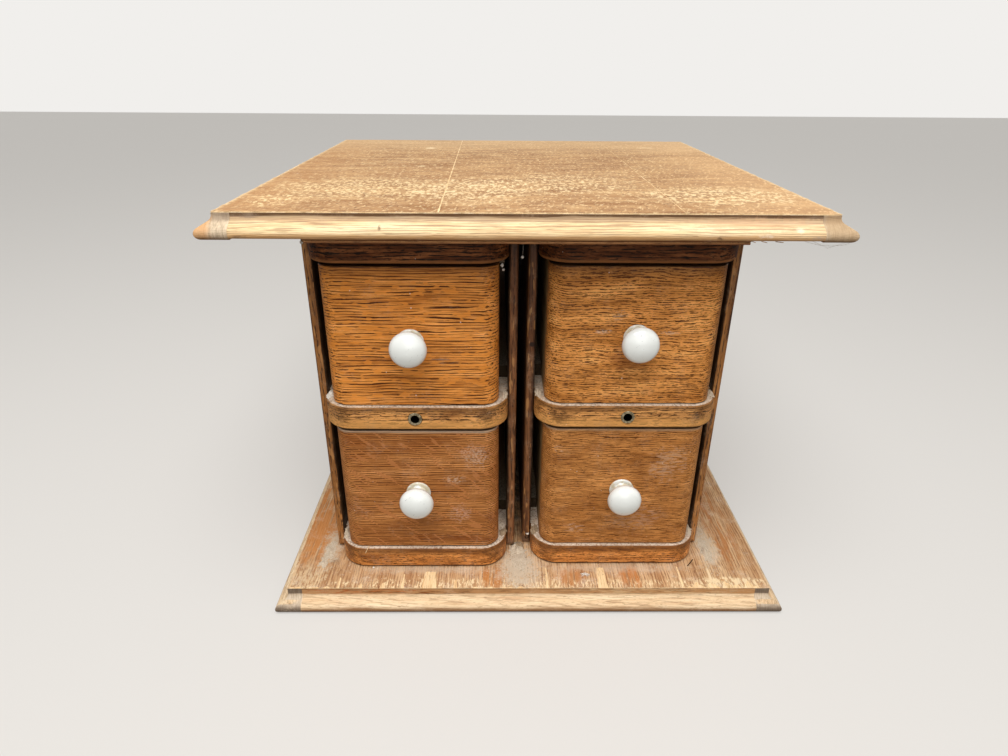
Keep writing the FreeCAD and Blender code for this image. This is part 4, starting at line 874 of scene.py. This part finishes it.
fluff = dict(  # finish, middle of the foot, half width, half depth and height
    cells=30, sunk=0.1, edge=0.8, ragged=0.35, slope=1.5, lumpy=0.5, coarse=2.6, fine=9, fineShare=0.6,
    places=[
        ("houseDust", (-3, -199, 22), (13, 19, 2.6)), ("houseDust", (-6, -182, 22), (11, 14, 4.4)),
        ("packedDust", (-4.5, -177, 22), (8, 9, 6.0)), ("houseDust", (-194, -184, 22), (7, 20, 2.4)),
        ("houseDust", (-197, -201, 22), (7, 11, 1.6)), ("houseDust", (185, -184, 22), (7, 24, 2.8)),
        ("whiteLint", (-175.2, -183, 199), (4.6, 11, 3.2)),
        ("houseDust", (-20.2, -183, 199), (4.6, 11, 3.6)),
        ("houseDust", (11.2, -179, 199), (4.6, 11, 3.6)), ("houseDust", (166.2, -179, 199), (4.6, 11, 3.2)),
        ("houseDust", (-175.2, -183, 44.5), (4.6, 11, 2.8)),
        ("houseDust", (166.2, -179, 44.5), (4.6, 11, 3.0)),
        ("packedDust", (-20.2, -183, 44.5), (4.6, 10, 2.8)),
        ("packedDust", (11.2, -179, 44.5), (4.6, 10, 2.8)),
        ("oakSplinter", (190, -226, 22), (2.6, 1.4, 0.7)),
    ])
crumbs = dict(  # finish, middle, half spread, count, largest radius
    seed=11, smallest=0.35, scatter=0.5, reach=1.3, raised=0.3, turn=3, tilt=0.3, deep=(0.5, 1),
    high=(0.4, 0.8),
    areas=[
        ("houseDust", (-4, -200, 22), (17, 26), 130, 0.9),
        ("packedDust", (-4, -196, 22), (15, 24), 50, 0.8),
        ("darkGrit", (-4, -200, 22), (14, 26), 14, 0.7), ("houseDust", (-193, -190, 22), (9, 26), 70, 0.8),
        ("houseDust", (184, -186, 22), (8, 26), 70, 0.8), ("darkGrit", (183, -182, 22), (6, 12), 5, 0.8),
        ("whiteLint", (3, -217, 22), (168, 13), 130, 0.42),
        ("houseDust", (-98, -210.5, 22), (78, 3.0), 90, 0.6),
        ("houseDust", (88, -207.5, 22), (78, 4.0), 90, 0.6),
        ("darkGrit", (3, -219, 22), (168, 12), 18, 0.45),
    ])
balls = dict(  # middle, half sizes
    finish="whiteLint", detail=3, coarse=2.3, coarseShare=0.5, fine=7, fineShare=0.35,
    places=[
        ((-185.4, -178.8, 335.4), (1.4, 0.8, 1.3)), ((-181.5, -178.9, 336.2), (1.8, 0.9, 1.0)),
        ((-22.4, -193, 321.2), (1.2, 1.0, 1.5)), ((-21.4, -193, 317.4), (1.0, 0.9, 0.9)),
        ((-6.0, -192, 350), (1.1, 0.9, 1.1)), ((-6.2, -192, 327.6), (1.0, 0.9, 1.3)),
        ((5.0, -175, 36), (1.5, 0.9, 1.0)), ((-146.4, -209.2, 22.7), (1.0, 0.8, 0.7)),
    ])
strands = dict(  # finish, radius, points, and the radius of the beads along it
    lines=[
        ("whiteLint", 0.1, [(-5.9, -190, 351.9), (-5.6, -190, 340), (-5.8, -190, 329)], 0),
        ("whiteLint", 0.22, [(-177.4, -178.6, 334.6), (-177.8, -178.6, 328), (-177.6, -178.6, 322)], 0),
        ("whiteLint", 0.1, [(198, -236, 352), (208, -236, 349.6), (218, -235, 348.6), (228, -235, 349.4),
                            (234, -234, 352)], 0.3),
        ("whiteLint", 0.1, [(204, -235, 352), (216, -235, 347), (232, -234, 352)], 0),
        ("bareOak", 0.35, [(-149.6, -205.2, 45.2), (-150.4, -207.6, 45.1), (-151.8, -208.9, 42.6),
                           (-153, -208.9, 40.0)], 0),
        ("darkGrit", 0.5, [(168.8, -198, 22.5), (165.4, -202.6, 22.6), (161.4, -207, 22.4)], 0),
        ("darkGrit", 0.5, [(6.6, -174.8, 34), (5.6, -176, 31.5), (3.4, -176, 31.2), (2.2, -174.8, 33)], 0),
        ("oakSplinter", 0.25, [(159, -236.5, 352.1), (161.5, -237.2, 351.4)], 0),
        ("oakSplinter", 0.25, [(166, -236.2, 352.1), (170, -236.8, 351.2)], 0),
        ("oakSplinter", 0.3, [(176, -236.8, 352.1), (181.5, -237.4, 351.6)], 0),
        ("oakSplinter", 0.3, [(-237.4, -231, 352.2), (-234, -232, 351.5)], 0),
    ],
    taper=0.8, sides=6, overlap=1.03, beads=[(0.15, 0.675), (0.45, 0.825), (0.8, 1)],  # place, size
    tuft=dict(
        at=(59.4, -216.6, 22.4), fibres=12, length=7, shortest=0.5, radius=0.25, rise=0.3, fanFrom=200,
        fan=140, finish="whiteLint"))


def addFluff(shape, foot, half, look):  # a soft heap that thins out to nothing at a broken edge
    cells = look["cells"]
    heap = bmesh.ops.create_grid(shape, x_segments=cells, y_segments=cells, size=1)["verts"]
    shift = Vector(foot)
    bare = []
    for vert in heap:
        lump = noise.noise(vert.co * look["coarse"] + shift)
        lump += look["fineShare"] * noise.noise(vert.co * look["fine"] + shift)
        rise = max(0.0, look["edge"] - vert.co.length + look["ragged"] * lump) ** look["slope"]
        rise *= 1 + look["lumpy"] * lump
        if rise == 0:
            bare.append(vert)
        height = rise * half[2] - look["sunk"]
        vert.co = (shift + Vector((vert.co.x * half[0], vert.co.y * half[1], height))) * mm
    bmesh.ops.delete(shape, geom=bare, context="VERTS")


def addBall(shape, middle, half, look):  # a knot of lint
    ball = bmesh.ops.create_icosphere(shape, subdivisions=look["detail"], radius=1)["verts"]
    shift = Vector(middle)
    for vert in ball:
        lump = 1 + look["coarseShare"] * noise.noise(vert.co * look["coarse"] + shift)
        lump += look["fineShare"] * noise.noise(vert.co * look["fine"] + shift)
        vert.co = (shift + Vector([c * size * lump for c, size in zip(vert.co, half)])) * mm


def addCrumbs(shape, middle, spread, count, largest, source, look):
    reach = look["reach"]
    for _ in range(count):
        radius = source.uniform(look["smallest"], 1) * largest
        x = middle[0] + max(-reach, min(reach, source.gauss(0, look["scatter"]))) * spread[0]
        y = middle[1] + max(-reach, min(reach, source.gauss(0, look["scatter"]))) * spread[1]
        turn = source.uniform(0, look["turn"])
        turn = Matrix.Rotation(turn, 4, (source.random(), source.random(), look["tilt"]))
        squash = Matrix.Diagonal((1, source.uniform(*look["deep"]), source.uniform(*look["high"]), 1))
        place = Matrix.Translation(Vector((x, y, middle[2] + radius * look["raised"])) * mm)
        bmesh.ops.create_icosphere(shape, subdivisions=1, radius=radius * mm, matrix=place @ turn @ squash)


def addStrand(shape, radius, points, beadRadius, look):
    for start, end in zip(points, points[1:]):
        start, end = Vector(start) * mm, Vector(end) * mm
        along = end - start
        matrix = Matrix.Translation((start + end) / 2) @ along.to_track_quat("Z", "Y").to_matrix().to_4x4()
        bmesh.ops.create_cone(
            shape, cap_ends=True, segments=look["sides"], radius1=radius * mm,
            radius2=radius * mm * look["taper"], depth=along.length * look["overlap"], matrix=matrix)
        if beadRadius:
            for share, size in look["beads"]:
                bmesh.ops.create_icosphere(
                    shape, subdivisions=1, radius=beadRadius * size * mm,
                    matrix=Matrix.Translation(start.lerp(end, share)))


litter = {finish: bmesh.new() for finish in [*dustLooks, "bareOak"]}
source = random.Random(crumbs["seed"])
for finish, foot, half in fluff["places"]:
    addFluff(litter[finish], foot, half, fluff)
for middle, half in balls["places"]:
    addBall(litter[balls["finish"]], middle, half, balls)
for finish, middle, spread, count, largest in crumbs["areas"]:
    addCrumbs(litter[finish], middle, spread, count, largest, source, crumbs)
for finish, radius, points, beadRadius in strands["lines"]:
    addStrand(litter[finish], radius, points, beadRadius, strands)
tuft = strands["tuft"]
foot = Vector(tuft["at"])
for number in range(tuft["fibres"]):
    angle = math.radians(tuft["fanFrom"] + tuft["fan"] * number / tuft["fibres"])
    reach = tuft["length"] * source.uniform(tuft["shortest"], 1)
    tip = foot + Vector((math.cos(angle) * reach, math.sin(angle) * reach, tuft["rise"]))
    addStrand(litter[tuft["finish"]], tuft["radius"], [foot, tip], 0, strands)
for finish, shape in litter.items():
    newPiece(finish + "Litter", shape, materials[finish], smooth=True)
print("dust and lint laid")


# CAD parts that keep their own mesh and only get a finish.


def finishNode(nodeName, material):
    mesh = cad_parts[nodeName].data
    mesh.materials.clear()
    mesh.materials.append(material)


nodeFinishes = {
    "top_core": "sawnOakUnderside", "base_core": "sawnOakUnderside",
    "top_screws": "dullSteel", "base_screws": "dullSteel"}
for side in ("left", "right"):
    nodeFinishes[side + "_runners"] = "grimyRunnerWood"
    nodeFinishes[side + "_back_rails"] = "plainWoodAcross"
    nodeFinishes[side + "_keyhole_bush"] = "agedBrass"
    nodeFinishes[side + "_lock_cam"] = "blackenedBrass"
for drawer in drawerFinishes:
    nodeFinishes[drawer + "_knob_screw"] = "dullSteel"
for nodeName, material in nodeFinishes.items():
    finishNode(nodeName, materials[material])
for drawer, word in drawerFinishes.items():
    knobNode = drawer + "_knob"
    finishNode(knobNode, porcelainMaterial(word + "Porcelain", porcelainLook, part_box(knobNode)))
print("remaining nodes finished")


# Floor, light and camera.

studio = dict(
    floorSize=6.0, floorColour="#A5A29E", floorBounce="#77726C", floorGlow="#D8D5D0", glow=0.5,
    floorRoughness=0.9, worldColour="#F1EFEC", worldStrength=0.34,
    lamps=[
        dict(name="overheadSoftbox", at=(-0.1, -0.9, 1.9), aim=(0, -0.1, 0.25), size=1.6, power=43),
        dict(name="frontSoftbox", at=(0.2, -2.2, 0.9), aim=(0, 0, 0.2), size=1.8, power=11)])


def floorMaterial(look):  # its own colour to the camera, and a darker one in the light it throws back
    material, tree, shader, _ = startFinish("paleFloor")
    seen = addNode(tree, "LightPath").outputs["Is Camera Ray"]
    colour = addNode(tree, "Mix", {
        "Factor": seen, 6: linearColour(look["floorBounce"]), 7: linearColour(look["floorColour"])},
        data_type="RGBA")
    setInputs(tree, shader, {
        "Base Color": colour.outputs[2], "Roughness": look["floorRoughness"],
        "Emission Color": linearColour(look["floorGlow"]),
        "Emission Strength": addNode(tree, "Math", [seen, look["glow"]], operation="MULTIPLY")})
    return material


def makeStage(look):
    shape = bmesh.new()
    bmesh.ops.create_grid(shape, x_segments=1, y_segments=1, size=look["floorSize"])
    floor = placeObject("floor", meshFrom(shape, "floor", floorMaterial(look)))
    world = bpy.data.worlds.new("studio")
    bpy.context.scene.world = world
    world.use_nodes = True
    tree = world.node_tree
    path = addNode(tree, "LightPath")
    seen = addNode(
        tree, "Math", [path.outputs["Is Camera Ray"], path.outputs["Is Glossy Ray"]], operation="MAXIMUM")
    strength = addNode(tree, "MapRange", {"Value": seen, "To Min": look["worldStrength"], "To Max": 1.0})
    setInputs(tree, tree.nodes["Background"], {
        "Color": linearColour(look["worldColour"]), "Strength": strength})
    for lamp in look["lamps"]:
        light = bpy.data.lights.new(lamp["name"], "AREA")
        light.shape = "DISK"
        light.size = lamp["size"]
        light.energy = lamp["power"]
        holder = placeObject(lamp["name"], light)
        holder.location = lamp["at"]
        aim = Vector(lamp["aim"]) - Vector(lamp["at"])
        holder.rotation_euler = aim.to_track_quat("-Z", "Y").to_euler()


view = dict(
    at=(-0.0261, -0.7106, 0.4700), yaw=0.0112, pitch=0.4493, roll=0.0073, lens=23.58, sensor=36,
    nearest=0.01)


def makeCamera(look):
    yaw, pitch, roll = look["yaw"], look["pitch"], look["roll"]
    forward = Vector((math.sin(yaw) * math.cos(pitch), math.cos(yaw) * math.cos(pitch), -math.sin(pitch)))
    level = Vector((math.cos(yaw), -math.sin(yaw), 0))
    upward = level.cross(forward)
    right = level * math.cos(roll) + upward * math.sin(roll)
    top = upward * math.cos(roll) - level * math.sin(roll)
    turn = Matrix((right, top, -forward)).transposed().to_4x4()
    data = bpy.data.cameras.new("camera")
    data.lens = look["lens"]
    data.sensor_width = look["sensor"]
    data.clip_start = look["nearest"]
    camera = placeObject("camera", data)
    camera.matrix_world = Matrix.Translation(look["at"]) @ turn
    bpy.context.scene.camera = camera


makeStage(studio)
makeCamera(view)
bpy.context.scene.view_settings.view_transform = "Standard"
print("stage, lamps and camera placed")
